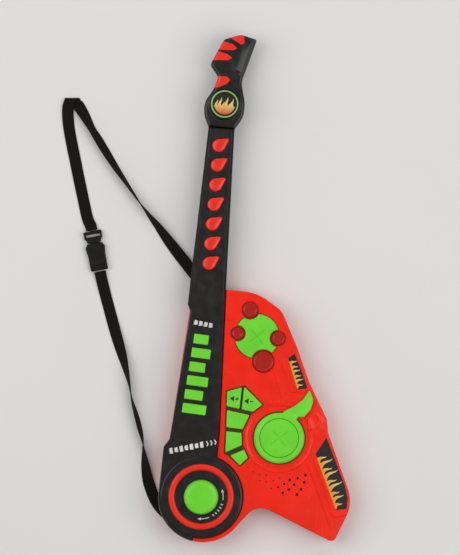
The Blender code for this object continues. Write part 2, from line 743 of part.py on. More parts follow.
def power_knob(green):
    low = DISC_FRONT + GAP
    top = low + KNOB_HEIGHT
    return turned("power_knob", KNOB_CENTRE, [
        (0.0, switch_top() + GAP),
        (KNOB_SHAFT_RADIUS, switch_top() + GAP),
        (KNOB_SHAFT_RADIUS, low),
        (KNOB_RADIUS, low),
        (KNOB_RADIUS, top - 2.5),
        (KNOB_RADIUS - 0.8, top - 0.8),
        (KNOB_RADIUS - 2.5, top),
        (0.0, top + 0.8),
    ], green)


def knob_ring(red):
    low = DISC_FRONT + GAP
    top = low + RING_RISE
    return turned("knob_ring", KNOB_CENTRE, [
        (RING_INNER, low),
        (RING_OUTER, low),
        (RING_OUTER, low + 0.4 * RING_RISE),
        (RING_OUTER - 1.2, top - 0.5),
        (RING_OUTER - 3.0, top),
        (RING_INNER + 3.0, top),
        (RING_INNER + 1.2, top - 0.5),
        (RING_INNER, low + 0.4 * RING_RISE),
    ], red)


# Trim, lenses and labels

def badge_centre():
    return (BADGE_CENTRE[0], NECK_TOP + BADGE_CENTRE[1])


def badge(green, print_material):
    low = PANEL_FRONT + BOSS_RISE + GAP
    inner = BADGE_RADIUS - BADGE_RING_WIDTH
    turned("badge_ring", badge_centre(), [
        (inner, low), (BADGE_RADIUS, low), (BADGE_RADIUS, low + 1.0), (BADGE_RADIUS - 0.7, low + 1.6),
        (inner + 0.7, low + 1.6), (inner, low + 1.0),
    ], green)
    plate("badge_label", circle(badge_centre(), inner - GAP), low, low + 2 * LABEL_DEPTH, print_material)


def head_flames(red):
    flames = (
        [(16.6, 109.5, 1.5), (20.4, 113.0, 3.0), (16.8, 120.4, 2.5), (1.8, 116.2, 2.0)],
        [(-8.6, 100.6, 1.5), (10.2, 104.4, 2.0), (-4.4, 110.6, 2.0)],
        [(-15.2, 86.6, 1.5), (3.6, 91.4, 2.0), (-10.6, 97.0, 2.0)],
        [(-10.8, 53.6, 1.5), (4.6, 62.4, 2.5), (-7.6, 64.6, 2.0)],
    )
    for index, corners in enumerate(flames):
        items = [(x, NECK_TOP + y, radius) for x, y, radius in corners]
        plate(f"head_flame_{index + 1}", items, PANEL_FRONT + GAP, PANEL_FRONT + GAP + 0.9, red)


def upper_label_outline():
    right = BODY_RIGHT
    return [(right - 81.8, 148.6, 0.8), (right - 68.0, 151.2, 0.8), (right - 89.0, 196.5, 0.8), (right - 96.6, 188.6, 0.8)]


def lower_label_outline():
    right = BODY_RIGHT
    return [
        (right - 18.4, -3.2, 1.0), (right - 3.9, -0.6, 1.5), (right - 4.2, 22.0, 14.0), (right - 38.0, 90.0, 1.0),
        (right - 51.4, 67.6, 3.0),
    ]


def labels(print_material):
    low = BODY_DEPTH - LABEL_DEPTH - GAP
    plate("flame_label_upper", upper_label_outline(), low, low + LABEL_DEPTH, print_material)
    plate("flame_label_lower", lower_label_outline(), low, low + LABEL_DEPTH, print_material)


def lenses(lens_material):
    foot = MAIN_BOARD_TOP + GAP
    for index, (x, y, radius) in enumerate(LENSES):
        inner = radius - LENS_WALL
        top = BODY_DEPTH + LENS_RISE
        turned(f"light_lens_{index + 1}", (x, y), [
            (inner, foot),
            (radius + KEY_LIP, foot),
            (radius + KEY_LIP, foot + 1.0),
            (radius, foot + 1.0),
            (radius, BODY_DEPTH + 0.4 * LENS_RISE),
            (0.9 * radius, BODY_DEPTH + 0.75 * LENS_RISE),
            (0.6 * radius, top - 0.3),
            (0.0, top),
            (0.0, top - LENS_WALL),
            (inner, BODY_DEPTH + 0.3 * LENS_RISE),
        ], lens_material, 20)


def speaker_holes():
    """Two curved bands of holes that sweep across the face over the speaker."""
    return (
        (70.0, 42.6), (77.8, 37.6), (86.4, 34.8), (95.2, 34.6), (87.2, 26.8), (96.0, 25.8), (105.0, 28.4),
        (112.8, 32.4), (103.2, 18.2), (111.8, 20.2), (119.4, 25.2), (126.0, 31.2), (136.0, 34.0), (145.8, 39.0),
        (132.4, 25.4), (145.2, 29.4), (126.0, 18.4), (141.8, 20.0), (118.4, 13.4), (137.0, 12.6),
    )


# Inside

def speaker(black):
    top = BODY_DEPTH - WALL - GAP
    foot = top - SPEAKER_DEPTH
    return turned("speaker", SPEAKER_CENTRE, [
        (0.0, foot), (0.55 * SPEAKER_RADIUS, foot), (0.55 * SPEAKER_RADIUS, foot + 7.0),
        (SPEAKER_RADIUS - 3.0, top - 2.0), (SPEAKER_RADIUS, top - 2.0), (SPEAKER_RADIUS, top),
        (SPEAKER_RADIUS - 3.0, top), (0.4 * SPEAKER_RADIUS, top - 6.0), (0.0, top - 4.5),
    ], black, 24)


def boards(board, silicone, black):
    panel_top = PANEL_BOARD_TOP
    mat_low = panel_top + GAP
    x, y = KNOB_CENTRE
    left_low = panel_left_edge(98.0) + 5.0
    panel = [
        (x - 14.0, y - 14.0, 1.0), (x + 13.0, y - 14.0, 1.0), (x + 13.0, y + 14.0, 1.0), (16.0, 50.0, 1.0),
        (16.0, 215.0, 1.0), (-17.0, 215.0, 1.0), (left_low, 98.0, 1.0), (-20.0, 60.0, 1.0),
    ]
    plate("panel_board", panel, panel_top - BOARD_DEPTH, panel_top, board)
    solo_mat = [
        (left_low + 3.0, 104.0, 1.0), (14.0, 104.0, 1.0), (14.0, 213.0, 1.0), (-15.0, 213.0, 1.0),
    ]
    plate("solo_key_mat", solo_mat, mat_low, mat_low + MAT_DEPTH, silicone)
    last = fret_key_centre(FRET_KEYS - 1)[1]
    plate("neck_board", rectangle((-12.5, last - 16.0), (12.5, NECK_TOP - 6.0)), panel_top - BOARD_DEPTH, panel_top, board)
    plate("fret_key_mat", rectangle((-11.5, last - 14.0), (11.5, NECK_TOP - 8.0)), mat_low, mat_low + MAT_DEPTH, silicone)
    main = [
        (40.0, 56.0, 1.0), (136.0, 56.0, 1.0), (136.0, 150.0, 1.0), (112.0, 205.0, 1.0), (84.0, 248.0, 1.0),
        (30.5, 258.0, 1.0), (34.0, 100.0, 1.0),
    ]
    plate("main_board", main, MAIN_BOARD_TOP - BOARD_DEPTH, MAIN_BOARD_TOP, board)
    turned("rotary_switch", KNOB_CENTRE, [
        (0.0, mat_low), (9.0, mat_low), (9.0, switch_top()), (0.0, switch_top()),
    ], black, 16)


def switch_top():
    return PANEL_BOARD_TOP + GAP + 4.4


def cell_ceiling():
    return COVER_DEPTH + 3 * GAP + 2 * CELL_RADIUS + GAP


def cell_pocket():
    """Lower and upper corners of the space that the cells and their contacts fill."""
    half_width = CELL_PITCH + CELL_RADIUS + GAP
    half_length = CELL_LENGTH / 2 + CONTACT_ROOM
    x, y = CELLS_CENTRE
    return (x - half_width, y - half_length), (x + half_width, y + half_length)


def cover_corners():
    """Lower and upper corners of the battery cover, which overlaps the pocket all round."""
    low, high = cell_pocket()
    return (low[0] - 1.5, low[1] - 1.5), (high[0] + 1.5, high[1] + COVER_TAB)


def screw_centre():
    low, high = cell_pocket()
    return (CELLS_CENTRE[0], high[1] + COVER_TAB / 2)


def battery_cover(red):
    low, high = cover_corners()
    cover = plate("battery_cover", rectangle(low, high), GAP, GAP + COVER_DEPTH, red)
    combine(cover, cutter("cover_screw_hole", [
        prism(circle(screw_centre(), 3.4), -1.0, GAP + 1.3),
    ]), "DIFFERENCE")
    combine(cover, cutter("cover_shank_hole", [
        prism(circle(screw_centre(), 1.9), 0.5, GAP + COVER_DEPTH + 1.0),
    ]), "DIFFERENCE")
    return cover


def battery_screw(steel):
    turned("battery_cover_screw", screw_centre(), [
        (0.0, GAP + 0.2), (2.9, GAP + 0.2), (2.9, GAP + 1.0), (1.3, GAP + 1.0 + 0.0001), (1.3, 12.0), (0.0, 13.0),
    ], steel, 12)


def cells(wrap, steel):
    z = COVER_DEPTH + 3 * GAP + CELL_RADIUS
    x, y = CELLS_CENTRE
    for index in range(3):
        cell = turned(f"battery_{index + 1}", (0.0, 0.0), [
            (0.0, -CELL_LENGTH / 2), (CELL_RADIUS, -CELL_LENGTH / 2), (CELL_RADIUS, CELL_LENGTH / 2 - 1.2),
            (2.7, CELL_LENGTH / 2 - 1.2), (2.7, CELL_LENGTH / 2), (0.0, CELL_LENGTH / 2),
        ], wrap, 16)
        heading = 90.0 if index % 2 else -90.0
        cell.matrix_world = (Matrix.Translation(Vector((x + (index - 1) * CELL_PITCH, y, z)) * MM)
                             @ Matrix.Rotation(math.radians(heading), 4, "X"))
    pocket_low, pocket_high = cell_pocket()
    low_z = COVER_DEPTH + 4 * GAP
    high_z = cell_ceiling() - GAP
    sheet = 0.6
    for name, near in (("contact_plate_lower", pocket_low[1] + GAP), ("contact_plate_upper", pocket_high[1] - GAP - sheet)):
        corners = rectangle((pocket_low[0] + 1.0, near), (pocket_high[0] - 1.0, near + sheet), 0.0)
        plate(name, corners, low_z, high_z, steel)


# Strap: points are x, y, lift above the floor, heading of the webbing's width, and its tilt from flat

STRAP_UPPER_ROUTE = (
    (-4.0, 270.5, 8.6, 42.0, 0.0),
    (-12.0, 279.0, 8.6, 42.0, 0.0),
    (-24.0, 291.5, 7.0, 42.0, 0.0),
    (-34.0, 302.5, 3.8, 42.0, 3.0),
    (-46.0, 315.5, 1.0, 42.0, 12.0),
    (-59.0, 330.0, 0.2, 42.0, 30.0),
    (-73.0, 346.0, 0.2, 42.0, 52.0),
    (-87.0, 361.0, 0.2, 41.0, 74.0),
    (-100.5, 376.5, 0.2, 40.0, 92.0),
    (-116.0, 395.6, 0.2, 37.0, 104.0),
    (-132.4, 415.8, 0.2, 36.0, 119.0),
    (-147.8, 436.2, 0.2, 35.0, 131.0),
    (-160.4, 453.6, 0.2, 34.0, 133.0),
    (-170.0, 466.6, 0.2, 33.0, 127.0),
    (-180.4, 482.2, 0.2, 30.0, 150.0),
    (-189.6, 494.6, 0.2, 20.0, 178.0),
    (-196.4, 502.0, 0.2, 5.0, 180.0),
)
STRAP_FOLD_ROUTE = (
    (-200.9, 502.2, 2.2, 5.0, 180.0),
    (-203.2, 493.4, 2.1, 8.0, 180.0),
    (-203.0, 482.4, 1.5, 11.0, 180.0),
    (-200.2, 466.0, 0.4, 13.0, 180.0),
    (-195.5, 448.0, 0.2, 13.0, 180.0),
    (-190.0, 429.0, 0.2, 14.0, 180.0),
    (-184.5, 410.0, 0.2, 15.0, 180.0),
    (-178.3, 389.0, 0.2, 16.0, 180.0),
    (-172.0, 368.0, 0.2, 16.0, 180.0),
    (-166.0, 349.0, 0.8, 16.0, 180.0),
    (-161.2, 340.0, 2.2, 16.0, 180.0),
    (-158.7, 333.5, 3.0, 16.0, 180.0),
)
STRAP_LOWER_ROUTE = (
    (-143.9, 280.9, 3.2, 15.7, 0.0),
    (-141.0, 271.5, 2.4, 17.0, 0.0),
    (-133.2, 248.0, 0.5, 18.0, 0.0),
    (-128.0, 233.5, 0.2, 18.0, 0.0),
    (-122.8, 219.0, 0.2, 19.0, 4.0),
    (-117.0, 203.0, 0.2, 20.0, 12.0),
    (-111.0, 187.5, 0.2, 20.0, 22.0),
    (-105.0, 172.0, 0.2, 19.0, 38.0),
    (-99.3, 156.0, 0.2, 18.0, 58.0),
    (-93.0, 136.0, 0.2, 17.0, 80.0),
    (-88.3, 117.6, 0.2, 18.0, 93.0),
    (-81.0, 98.0, 0.2, 20.0, 108.0),
    (-74.6, 80.0, 0.2, 16.0, 110.0),
    (-70.4, 67.0, 0.2, 14.0, 98.0),
    (-67.8, 55.0, 0.2, 12.0, 82.0),
    (-64.0, 36.0, 0.2, 12.0, 48.0),
    (-59.0, 15.0, 0.2, 17.0, 18.0),
    (-54.8, 4.0, 0.2, 20.0, 6.0),
    (-50.2, -6.0, 0.3, 26.0, 0.0),
    (-44.0, -16.0, 0.4, 36.0, 0.0),
    (-35.0, -25.5, 0.4, 47.0, 0.0),
    (-24.0, -33.4, 0.4, 58.0, 0.0),
    (-13.0, -39.6, 0.4, 65.0, 0.0),
    (-4.4, -44.0, 0.4, 65.0, 0.0),
)
SLICES_PER_POINT = 2


def smooth_between(before, start, end, after, t):
    """Catmull-Rom between start and end, for tuples of any length."""
    return tuple(
        0.5 * (2 * b + (c - a) * t + (2 * a - 5 * b + 4 * c - d) * t ** 2 + (3 * b - a - 3 * c + d) * t ** 3)
        for a, b, c, d in zip(before, start, end, after)
    )


def strap_slices(route):
    """Centre and width direction of each slice along a route."""
    slices = []
    last = len(route) - 1
    for index in range(last):
        around = (route[max(index - 1, 0)], route[index], route[index + 1], route[min(index + 2, last)])
        for step in range(SLICES_PER_POINT):
            slices.append(smooth_between(*around, step / SLICES_PER_POINT))
    slices.append(route[last])
    placed = []
    for x, y, lift, heading, tilt in slices:
        heading = math.radians(heading)
        tilt = math.radians(tilt)
        rise = WEBBING_WIDTH / 2 * abs(math.sin(tilt)) + WEBBING_DEPTH / 2 * abs(math.cos(tilt))
        across = Vector((math.cos(heading) * math.cos(tilt), math.sin(heading) * math.cos(tilt), math.sin(tilt)))
        placed.append((Vector((x, y, lift + rise)), across))
    return placed


def fold_slices(before, after):
    """The turn where the webbing folds over itself: half a circle about a line along its width."""
    start, across = before
    end = after[0]
    reach = 1.6
    outward = Vector((-across.y, across.x, 0.0)).normalized()
    if outward.y < 0:
        outward = -outward
    middle_point = 0.5 * (start + end)
    return [
        (start.lerp(middle_point, 0.35) + 0.8 * reach * outward - Vector((0, 0, 0.30)), across),
        (middle_point + 1.25 * reach * outward, across),
        (end.lerp(middle_point, 0.35) + 0.8 * reach * outward + Vector((0, 0, 0.30)), across),
    ]


def webbing(name, slices, material):
    """A flat strip through the slices; where it runs askew to its width, it is cut wider to keep its true width."""
    bm = bmesh.new()
    rings = []
    for index, (centre, across) in enumerate(slices):
        before = slices[max(index - 1, 0)][0]
        after = slices[min(index + 1, len(slices) - 1)][0]
        along = (after - before).normalized()
        normal = along.cross(across)
        stretch = 1.0 / max(normal.length, 0.5)
        normal.normalize()
        side = across * (WEBBING_WIDTH / 2 * stretch)
        up = normal * (WEBBING_DEPTH / 2)
        corners = (centre - side - up, centre + side - up, centre + side + up, centre - side + up)
        rings.append([bm.verts.new(corner) for corner in corners])
    for ring, following in zip(rings, rings[1:]):
        for index in range(4):
            after = (index + 1) % 4
            bm.faces.new((ring[index], ring[after], following[after], following[index]))
    bm.faces.new(reversed(rings[0]))
    bm.faces.new(rings[-1])
    return add_object(name, bm, material)


def strap(material):
    up_leg = strap_slices(STRAP_UPPER_ROUTE)
    down_leg = strap_slices(STRAP_FOLD_ROUTE)
    webbing("strap_upper", up_leg + fold_slices(up_leg[-1], down_leg[0]) + down_leg, material)
    webbing("strap_lower", strap_slices(STRAP_LOWER_ROUTE), material)


def framed(centre, heading):
    """A local frame on the floor: +X along the strap, +Y across it."""
    return Matrix.Translation(Vector(centre) * MM) @ Matrix.Rotation(math.radians(heading), 4, "Z")


def loop(name, centre, heading, low, high, slot_low, material):
    """A moulded loop standing across the strap, with a slot for the webbing."""
    half = WEBBING_WIDTH / 2 + 1.2 + 2.4
    bracket = plate(name, rectangle((-1.6, -half), (1.6, half), 0.6), low, high, material)
    bracket.matrix_world = framed(centre, heading)
    slot = cutter(name + "_slot", [prism(rectangle((-4.0, -half + 2.4), (4.0, half - 2.4), 0.0), slot_low,
                                         slot_low + WEBBING_DEPTH + 1.2)])
    slot.matrix_world = framed(centre, heading)
    combine(bracket, slot, "DIFFERENCE")


def strap_bar(material):
    """The bar across the pocket in the back, which the strap's end is sewn round."""
    half = WEBBING_WIDTH / 2 + 2.0 - GAP
    bar = plate("strap_bar_tail", rectangle((-1.6, -half), (1.6, half), 0.6), 2.6, 5.0, material)
    bar.matrix_world = framed((*STRAP_BAR_CENTRE, 0.0), STRAP_BAR_HEADING)


def buckle(material):
    """Side-release buckle: the plug with its strap bar, and the socket that its prong enters."""
    place = framed((-157.3, 328.4, 0.0), -74.3)
    low = GAP
    high = GAP + BUCKLE_DEPTH
    half = BUCKLE_WIDTH / 2
    plug = plate("buckle_plug", [
        (-4.5, -half, 2.0), (4.5, -half, 1.5), (5.5, -half + 4.0, 1.0), (11.0, -half + 4.0, 1.0), (11.0, -5.0, 0.5),
        (30.0, -4.0, 1.0), (30.0, 4.0, 1.0), (11.0, 5.0, 0.5), (11.0, half - 4.0, 1.0), (5.5, half - 4.0, 1.0),
        (4.5, half, 1.5), (-4.5, half, 2.0),
    ], low + 2.0, high - 2.0, material)
    plug.matrix_world = place
    bar = cutter("plug_slot", [prism(rectangle((-0.2, -half + 3.4), (2.6, half - 3.4), 0.5), low, high)])
    bar.matrix_world = place
    combine(plug, bar, "DIFFERENCE")
    socket = stack("buckle_socket", [
        (outline(socket_outline(half)), low),
        (outline(socket_outline(half), 0.6), low + 1.0),
        (outline(socket_outline(half), 0.6), high - 1.0),
        (outline(socket_outline(half)), high),
    ], material)
    socket.matrix_world = place
    mouth = cutter("socket_mouth", [prism(rectangle((5.0, -6.2), (34.0, 6.2), 0.5), low + 1.6, high - 1.6)])
    mouth.matrix_world = place
    combine(socket, mouth, "DIFFERENCE")
    strap_end = cutter("socket_slot", [prism(rectangle((40.0, -half + 3.0), (44.0, half - 3.0), 0.5), low - 1.0, high + 1.0)])
    strap_end.matrix_world = place
    combine(socket, strap_end, "DIFFERENCE")


def socket_outline(half):
    return [
        (11.6, -half + 2.4, 2.0), (17.0, -half - 1.0, 4.0), (27.0, -half + 0.5, 8.0), (48.0, -half + 0.6, 2.0),
        (48.0, half - 0.6, 2.0), (27.0, half - 0.5, 8.0), (17.0, half + 1.0, 4.0), (11.6, half - 2.4, 2.0),
    ]


def build():
    clear_scene()
    materials = {name: make_material(name) for name in COLOURS}
    red = materials["red_plastic"]
    black = materials["black_plastic"]
    green = materials["green_plastic"]
    body_back_shell(red)
    body_front_shell(red)
    neck_back_shell(black)
    neck_front_shell(black)
    head_front_shell(black)
    keys(green, red)
    drum_pad(green)
    whammy_lever(green)
    power_knob(green)
    knob_ring(red)
    badge(green, materials["flame_print"])
    head_flames(red)
    labels(materials["flame_print"])
    lenses(materials["lens"])
    speaker(black)
    boards(materials["circuit_board"], materials["silicone"], black)
    battery_cover(red)
    battery_screw(materials["steel"])
    cells(materials["cell_wrap"], materials["steel"])
    strap(materials["webbing"])
    buckle(black)
    loop("strap_loop_neck", (-9.0, 275.6, 0.0), 133.0, 6.0, NECK_BACK - GAP, 8.0, black)
    strap_bar(black)


build()
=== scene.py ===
"""Looks of the toy electric guitar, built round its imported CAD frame.

Sizes are in millimetres, and become metres where a mesh is made. +X is to the right seen from the front, +Y
runs along the neck to the head, and +Z comes out of the front. The guitar lies on its flat back on the floor,
at Z = 0.
"""

import math

import bmesh
import bpy
from mathutils import Matrix, Vector


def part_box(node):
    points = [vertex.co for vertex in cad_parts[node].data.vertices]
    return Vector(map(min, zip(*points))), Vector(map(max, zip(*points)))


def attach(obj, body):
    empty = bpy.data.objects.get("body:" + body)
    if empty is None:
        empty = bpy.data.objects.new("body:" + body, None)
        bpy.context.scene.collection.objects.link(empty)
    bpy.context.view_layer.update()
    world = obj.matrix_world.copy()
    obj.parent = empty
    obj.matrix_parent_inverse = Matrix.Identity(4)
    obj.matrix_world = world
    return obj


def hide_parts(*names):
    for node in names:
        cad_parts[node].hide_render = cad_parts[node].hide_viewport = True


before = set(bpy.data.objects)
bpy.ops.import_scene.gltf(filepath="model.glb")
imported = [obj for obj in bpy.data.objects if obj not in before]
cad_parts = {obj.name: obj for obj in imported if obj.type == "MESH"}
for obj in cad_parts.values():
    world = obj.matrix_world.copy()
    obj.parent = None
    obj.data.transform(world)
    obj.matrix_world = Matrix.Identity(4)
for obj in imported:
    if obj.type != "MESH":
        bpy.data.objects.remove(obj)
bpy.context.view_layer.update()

MM = 0.001
CHORD_ERROR = 0.025
ROOT = "guitar"

# The CAD's own sizes
GAP = 0.3
KEY_GAP = 0.4
WALL = 2.2
BODY_DEPTH = 38.0
BODY_PARTING = 20.0
PANEL_FRONT = 41.0
DISC_FRONT = 43.0
NECK_BACK = 16.0
NECK_PARTING = 29.0
NECK_FOOT = 247.0
NECK_TOP = 480.0
BODY_TOP = 271.0
BODY_RIGHT = 207.5
BACK_TAPER = 18.0
KNOB_CENTRE = (13.0, 0.0)
KNOB_RADIUS = 22.5
KNOB_TOP = 55.3
RING_INNER = 34.5
RING_OUTER = 42.5
DISC_RADIUS = 52.7
DIAL_MARK_RADIUS = 28.6
PANEL_RADIUS = 54.3
LOBE_CENTRE = (15.0, -1.5)
LOBE_RADIUS = 58.0
DRUM_CENTRE = (107.7, 84.2)
DRUM_RADIUS = 25.0
DRUM_TOP = 42.4
HUB_INNER = 25.4
HUB_OUTER = 27.6
HUB_FOOT = 34.3
LEVER_RADIUS = 33.0
LEVER_FOOT = 38.3
LEVER_TOP = 43.3
HORN_ANGLE = 62.0
HORN_LIFT = 1.8  # clears the raised blocks and the label as the lever turns
LIGHT_PAD_CENTRE = (68.0, 213.8)
LIGHT_PAD_RADIUS = 29.0
LENSES = ((96.0, 213.2, 9.2), (56.4, 247.2, 10.4), (42.6, 215.5, 8.4), (79.0, 181.4, 14.0))
BADGE_CENTRE = (1.3, 511.0)
BADGE_RADIUS = 18.0
PANEL_RIGHT_TOP = (22.6, BODY_TOP)
PANEL_RIGHT_LOW = (29.4, 88.0)
PANEL_LEFT_TOP = (-20.8, 238.5)
PANEL_LEFT_LOW = (-34.2, 71.0)
LOBE_SHOULDER = (-41.0, 60.5)
CRESCENT_END = 262.0
CONCAVE_START = 318.0
WEBBING_WIDTH = 15.0
WEBBING_DEPTH = 1.4

# Camera: straight above, turned so that the neck leans to the right
CAMERA_AIM = (26.8, 287.0, 40.0)
CAMERA_ROLL = 4.75
CAMERA_HEIGHT = 4000.0
VIEW_HEIGHT = 721.5


def make_camera():
    data = bpy.data.cameras.new("camera")
    data.sensor_fit = "VERTICAL"
    data.sensor_height = 24.0
    data.lens = 24.0 * CAMERA_HEIGHT / VIEW_HEIGHT
    data.clip_end = 20.0
    camera = bpy.data.objects.new("camera", data)
    bpy.context.scene.collection.objects.link(camera)
    place = Vector((CAMERA_AIM[0], CAMERA_AIM[1], CAMERA_AIM[2] + CAMERA_HEIGHT)) * MM
    camera.matrix_world = Matrix.Translation(place) @ Matrix.Rotation(math.radians(CAMERA_ROLL), 4, "Z")
    bpy.context.scene.camera = camera


make_camera()


# Materials: object coordinates are in metres, so a scale of 100 gives features of about 10 mm

class Nodes:
    """A short way to add shader nodes to one material."""

    def __init__(self, name):
        self.material = bpy.data.materials.new(name)
        self.material.use_nodes = True
        self.tree = self.material.node_tree
        self.shader = self.tree.nodes["Principled BSDF"]
        self.coordinates = self.add("ShaderNodeTexCoord").outputs["Object"]

    def add(self, kind, **inputs):
        node = self.tree.nodes.new(kind)
        for key, value in inputs.items():
            self.set(node, key, value)
        return node

    def set(self, node, key, value):
        socket = node.inputs[int(key[1:]) if key[0] == "i" and key[1:].isdigit() else key.replace("_", " ")]
        if isinstance(value, bpy.types.NodeSocket):
            self.tree.links.new(value, socket)
        else:
            socket.default_value = value

    def noise(self, scale, detail=3.0, stretch=None, rough=0.5):
        vector = self.coordinates
        if stretch:
            mapping = self.add("ShaderNodeMapping", Vector=vector, Scale=stretch)
            vector = mapping.outputs[0]
        node = self.add("ShaderNodeTexNoise", Vector=vector, Scale=scale, Detail=detail, Roughness=rough)
        return node.outputs["Fac"]

    def ramp(self, value, low, high, start, end):
        node = self.add("ShaderNodeMapRange", Value=value, From_Min=low, From_Max=high, To_Min=start,
                        To_Max=end)
        return node.outputs[0]

    def math(self, operation, first, second=0.0):
        node = self.add("ShaderNodeMath", i0=first, i1=second)
        node.operation = operation
        return node.outputs[0]

    def mix(self, factor, first, second):
        node = self.add("ShaderNodeMix")
        node.data_type = "RGBA"
        for index, value in ((0, factor), (6, first), (7, second)):
            self.set(node, f"i{index}", value)
        return node.outputs[2]

    def bump(self, height, strength, distance, normal=None):
        node = self.add("ShaderNodeBump", Height=height, Strength=strength, Distance=distance)
        if normal:
            self.set(node, "Normal", normal)
        return node.outputs[0]

    def finish(self, **inputs):
        for key, value in inputs.items():
            self.set(self.shader, key, value)
        return self.material


def scaled(colour, factor):
    return (*(min(channel * factor, 1.0) for channel in colour[:3]), 1.0)


def plastic(name, colour, roughness, coat=0.0, glow=0.0, peel=0.10, shade=0.93, gloss=0.35):
    """Moulded plastic: slow shifts of colour and gloss, fine hairline scratches, and a faint orange peel."""
    n = Nodes(name)
    broad = n.noise(35.0, 2.0)
    colour_out = n.mix(n.ramp(broad, 0.35, 0.65, 0.0, 1.0), scaled(colour, shade), scaled(colour, 1.04))
    hairs = n.noise(240.0, 2.0, (1.0, 0.05, 1.0))
    scratch = n.ramp(hairs, 0.66, 0.74, 0.0, 1.0)
    haze = n.ramp(n.noise(90.0, 4.0), 0.3, 0.7, roughness - 0.05, roughness + 0.06)
    rough_out = n.math("ADD", haze, n.math("MULTIPLY", scratch, 0.10))
    grain = n.bump(n.noise(1400.0, 2.0), peel, 0.0002)
    soft = n.bump(n.noise(160.0, 2.0), 0.05, 0.001, grain)
    settings = {"Base_Color": colour_out, "Roughness": rough_out, "Normal": soft, "Coat_Weight": coat,
                "Coat_Roughness": 0.08, "Specular_IOR_Level": gloss}
    if glow:
        settings["Subsurface_Weight"] = glow
        settings["Subsurface_Radius"] = (1.0, 0.8, 0.25)
        settings["Subsurface_Scale"] = 0.002
    return n.finish(**settings)


def lens_plastic():
    """Clear dark red cap: deeper in the middle, with a fine ringed pattern moulded inside."""
    n = Nodes("lens_red")
    cells = n.add("ShaderNodeTexVoronoi", Vector=n.coordinates, Scale=700.0).outputs["Distance"]
    fleck = n.ramp(cells, 0.1, 0.8, 0.0, 1.0)
    colour = n.mix(fleck, (0.56, 0.012, 0.001, 1.0), (0.44, 0.007, 0.001, 1.0))
    return n.finish(Base_Color=colour, Roughness=0.16, Coat_Weight=0.25, Coat_Roughness=0.05,
                    Specular_IOR_Level=0.35, Transmission_Weight=0.15, Subsurface_Weight=0.2,
                    Subsurface_Radius=(1.0, 0.1, 0.05), Subsurface_Scale=0.003,
                    Normal=n.bump(cells, 0.03, 0.0003))


def printed(name, low, high, span, axis):
    """Printed flame colour that runs from orange at the root to pale yellow at the tips."""
    n = Nodes(name)
    parts = n.add("ShaderNodeSeparateXYZ", Vector=n.coordinates)
    along = n.math("ADD", n.math("MULTIPLY", parts.outputs[0], axis[0]),
                   n.math("MULTIPLY", parts.outputs[1], axis[1]))
    wobble = n.math("ADD", along, n.ramp(n.noise(220.0), 0.0, 1.0, -0.0012, 0.0012))
    factor = n.ramp(wobble, span[0], span[1], 0.0, 1.0)
    dots = n.add("ShaderNodeTexVoronoi", Vector=n.coordinates, Scale=2600.0).outputs["Distance"]
    colour = n.mix(n.ramp(dots, 0.2, 0.9, 0.0, 0.12), n.mix(factor, low, high), (0.02, 0.01, 0.0, 1.0))
    return n.finish(Base_Color=colour, Roughness=n.ramp(n.noise(300.0), 0.3, 0.7, 0.26, 0.38),
                    Coat_Weight=0.3)


def woven():
    """Webbing: rows of diagonal threads across the width, with a slub here and there."""
    n = Nodes("webbing_black")
    uv = n.add("ShaderNodeUVMap")
    parts = n.add("ShaderNodeSeparateXYZ", Vector=uv.outputs[0])
    across = n.math("MULTIPLY", parts.outputs[0], 2 * math.pi / 1.25)
    along = n.math("MULTIPLY", parts.outputs[1], 2 * math.pi / 1.7)
    ribs = n.math("ABSOLUTE", n.math("SINE", across))
    threads = n.math("ABSOLUTE", n.math("SINE", n.math("ADD", along, n.math("MULTIPLY", ribs, 1.4))))
    height = n.math("MULTIPLY", n.math("ADD", ribs, threads), 0.5)
    fuzz = n.noise(900.0, 3.0)
    surface = n.math("ADD", height, n.math("MULTIPLY", fuzz, 0.35))
    # Painted shade: the colour follows the weave's height, darker in the low parts between threads; the fuzz
    # adds random tone on top
    colour = n.mix(n.ramp(surface, 0.2, 1.2, 0.0, 1.0), (0.0022, 0.0020, 0.0017, 1.0),
                   (0.013, 0.012, 0.010, 1.0))
    return n.finish(Base_Color=colour, Roughness=n.ramp(fuzz, 0.3, 0.7, 0.72, 0.92), Specular_IOR_Level=0.12,
                    Normal=n.bump(surface, 0.7, 0.0004))


def board_green():
    """Circuit board: green, with darker tracks."""
    n = Nodes("board_green")
    bricks = n.add("ShaderNodeTexBrick", Vector=n.coordinates, Scale=260.0, Mortar_Size=0.03)
    tracks = n.mix(bricks.outputs["Fac"], (0.012, 0.11, 0.035, 1.0), (0.035, 0.22, 0.07, 1.0))
    blotch = n.ramp(n.noise(60.0), 0.3, 0.7, 0.36, 0.55)
    return n.finish(Base_Color=tracks, Roughness=blotch, Normal=n.bump(bricks.outputs["Fac"], 0.3, 0.0003))


def brushed(name, colour, stretch):
    """Metal with fine lines drawn along one axis."""
    n = Nodes(name)
    lines = n.noise(500.0, 3.0, stretch)
    shade = n.mix(n.ramp(lines, 0.3, 0.7, 0.0, 1.0), scaled(colour, 0.8), colour)
    return n.finish(Base_Color=shade, Metallic=1.0, Roughness=n.ramp(lines, 0.3, 0.7, 0.24, 0.42),
                    Normal=n.bump(lines, 0.1, 0.0001))


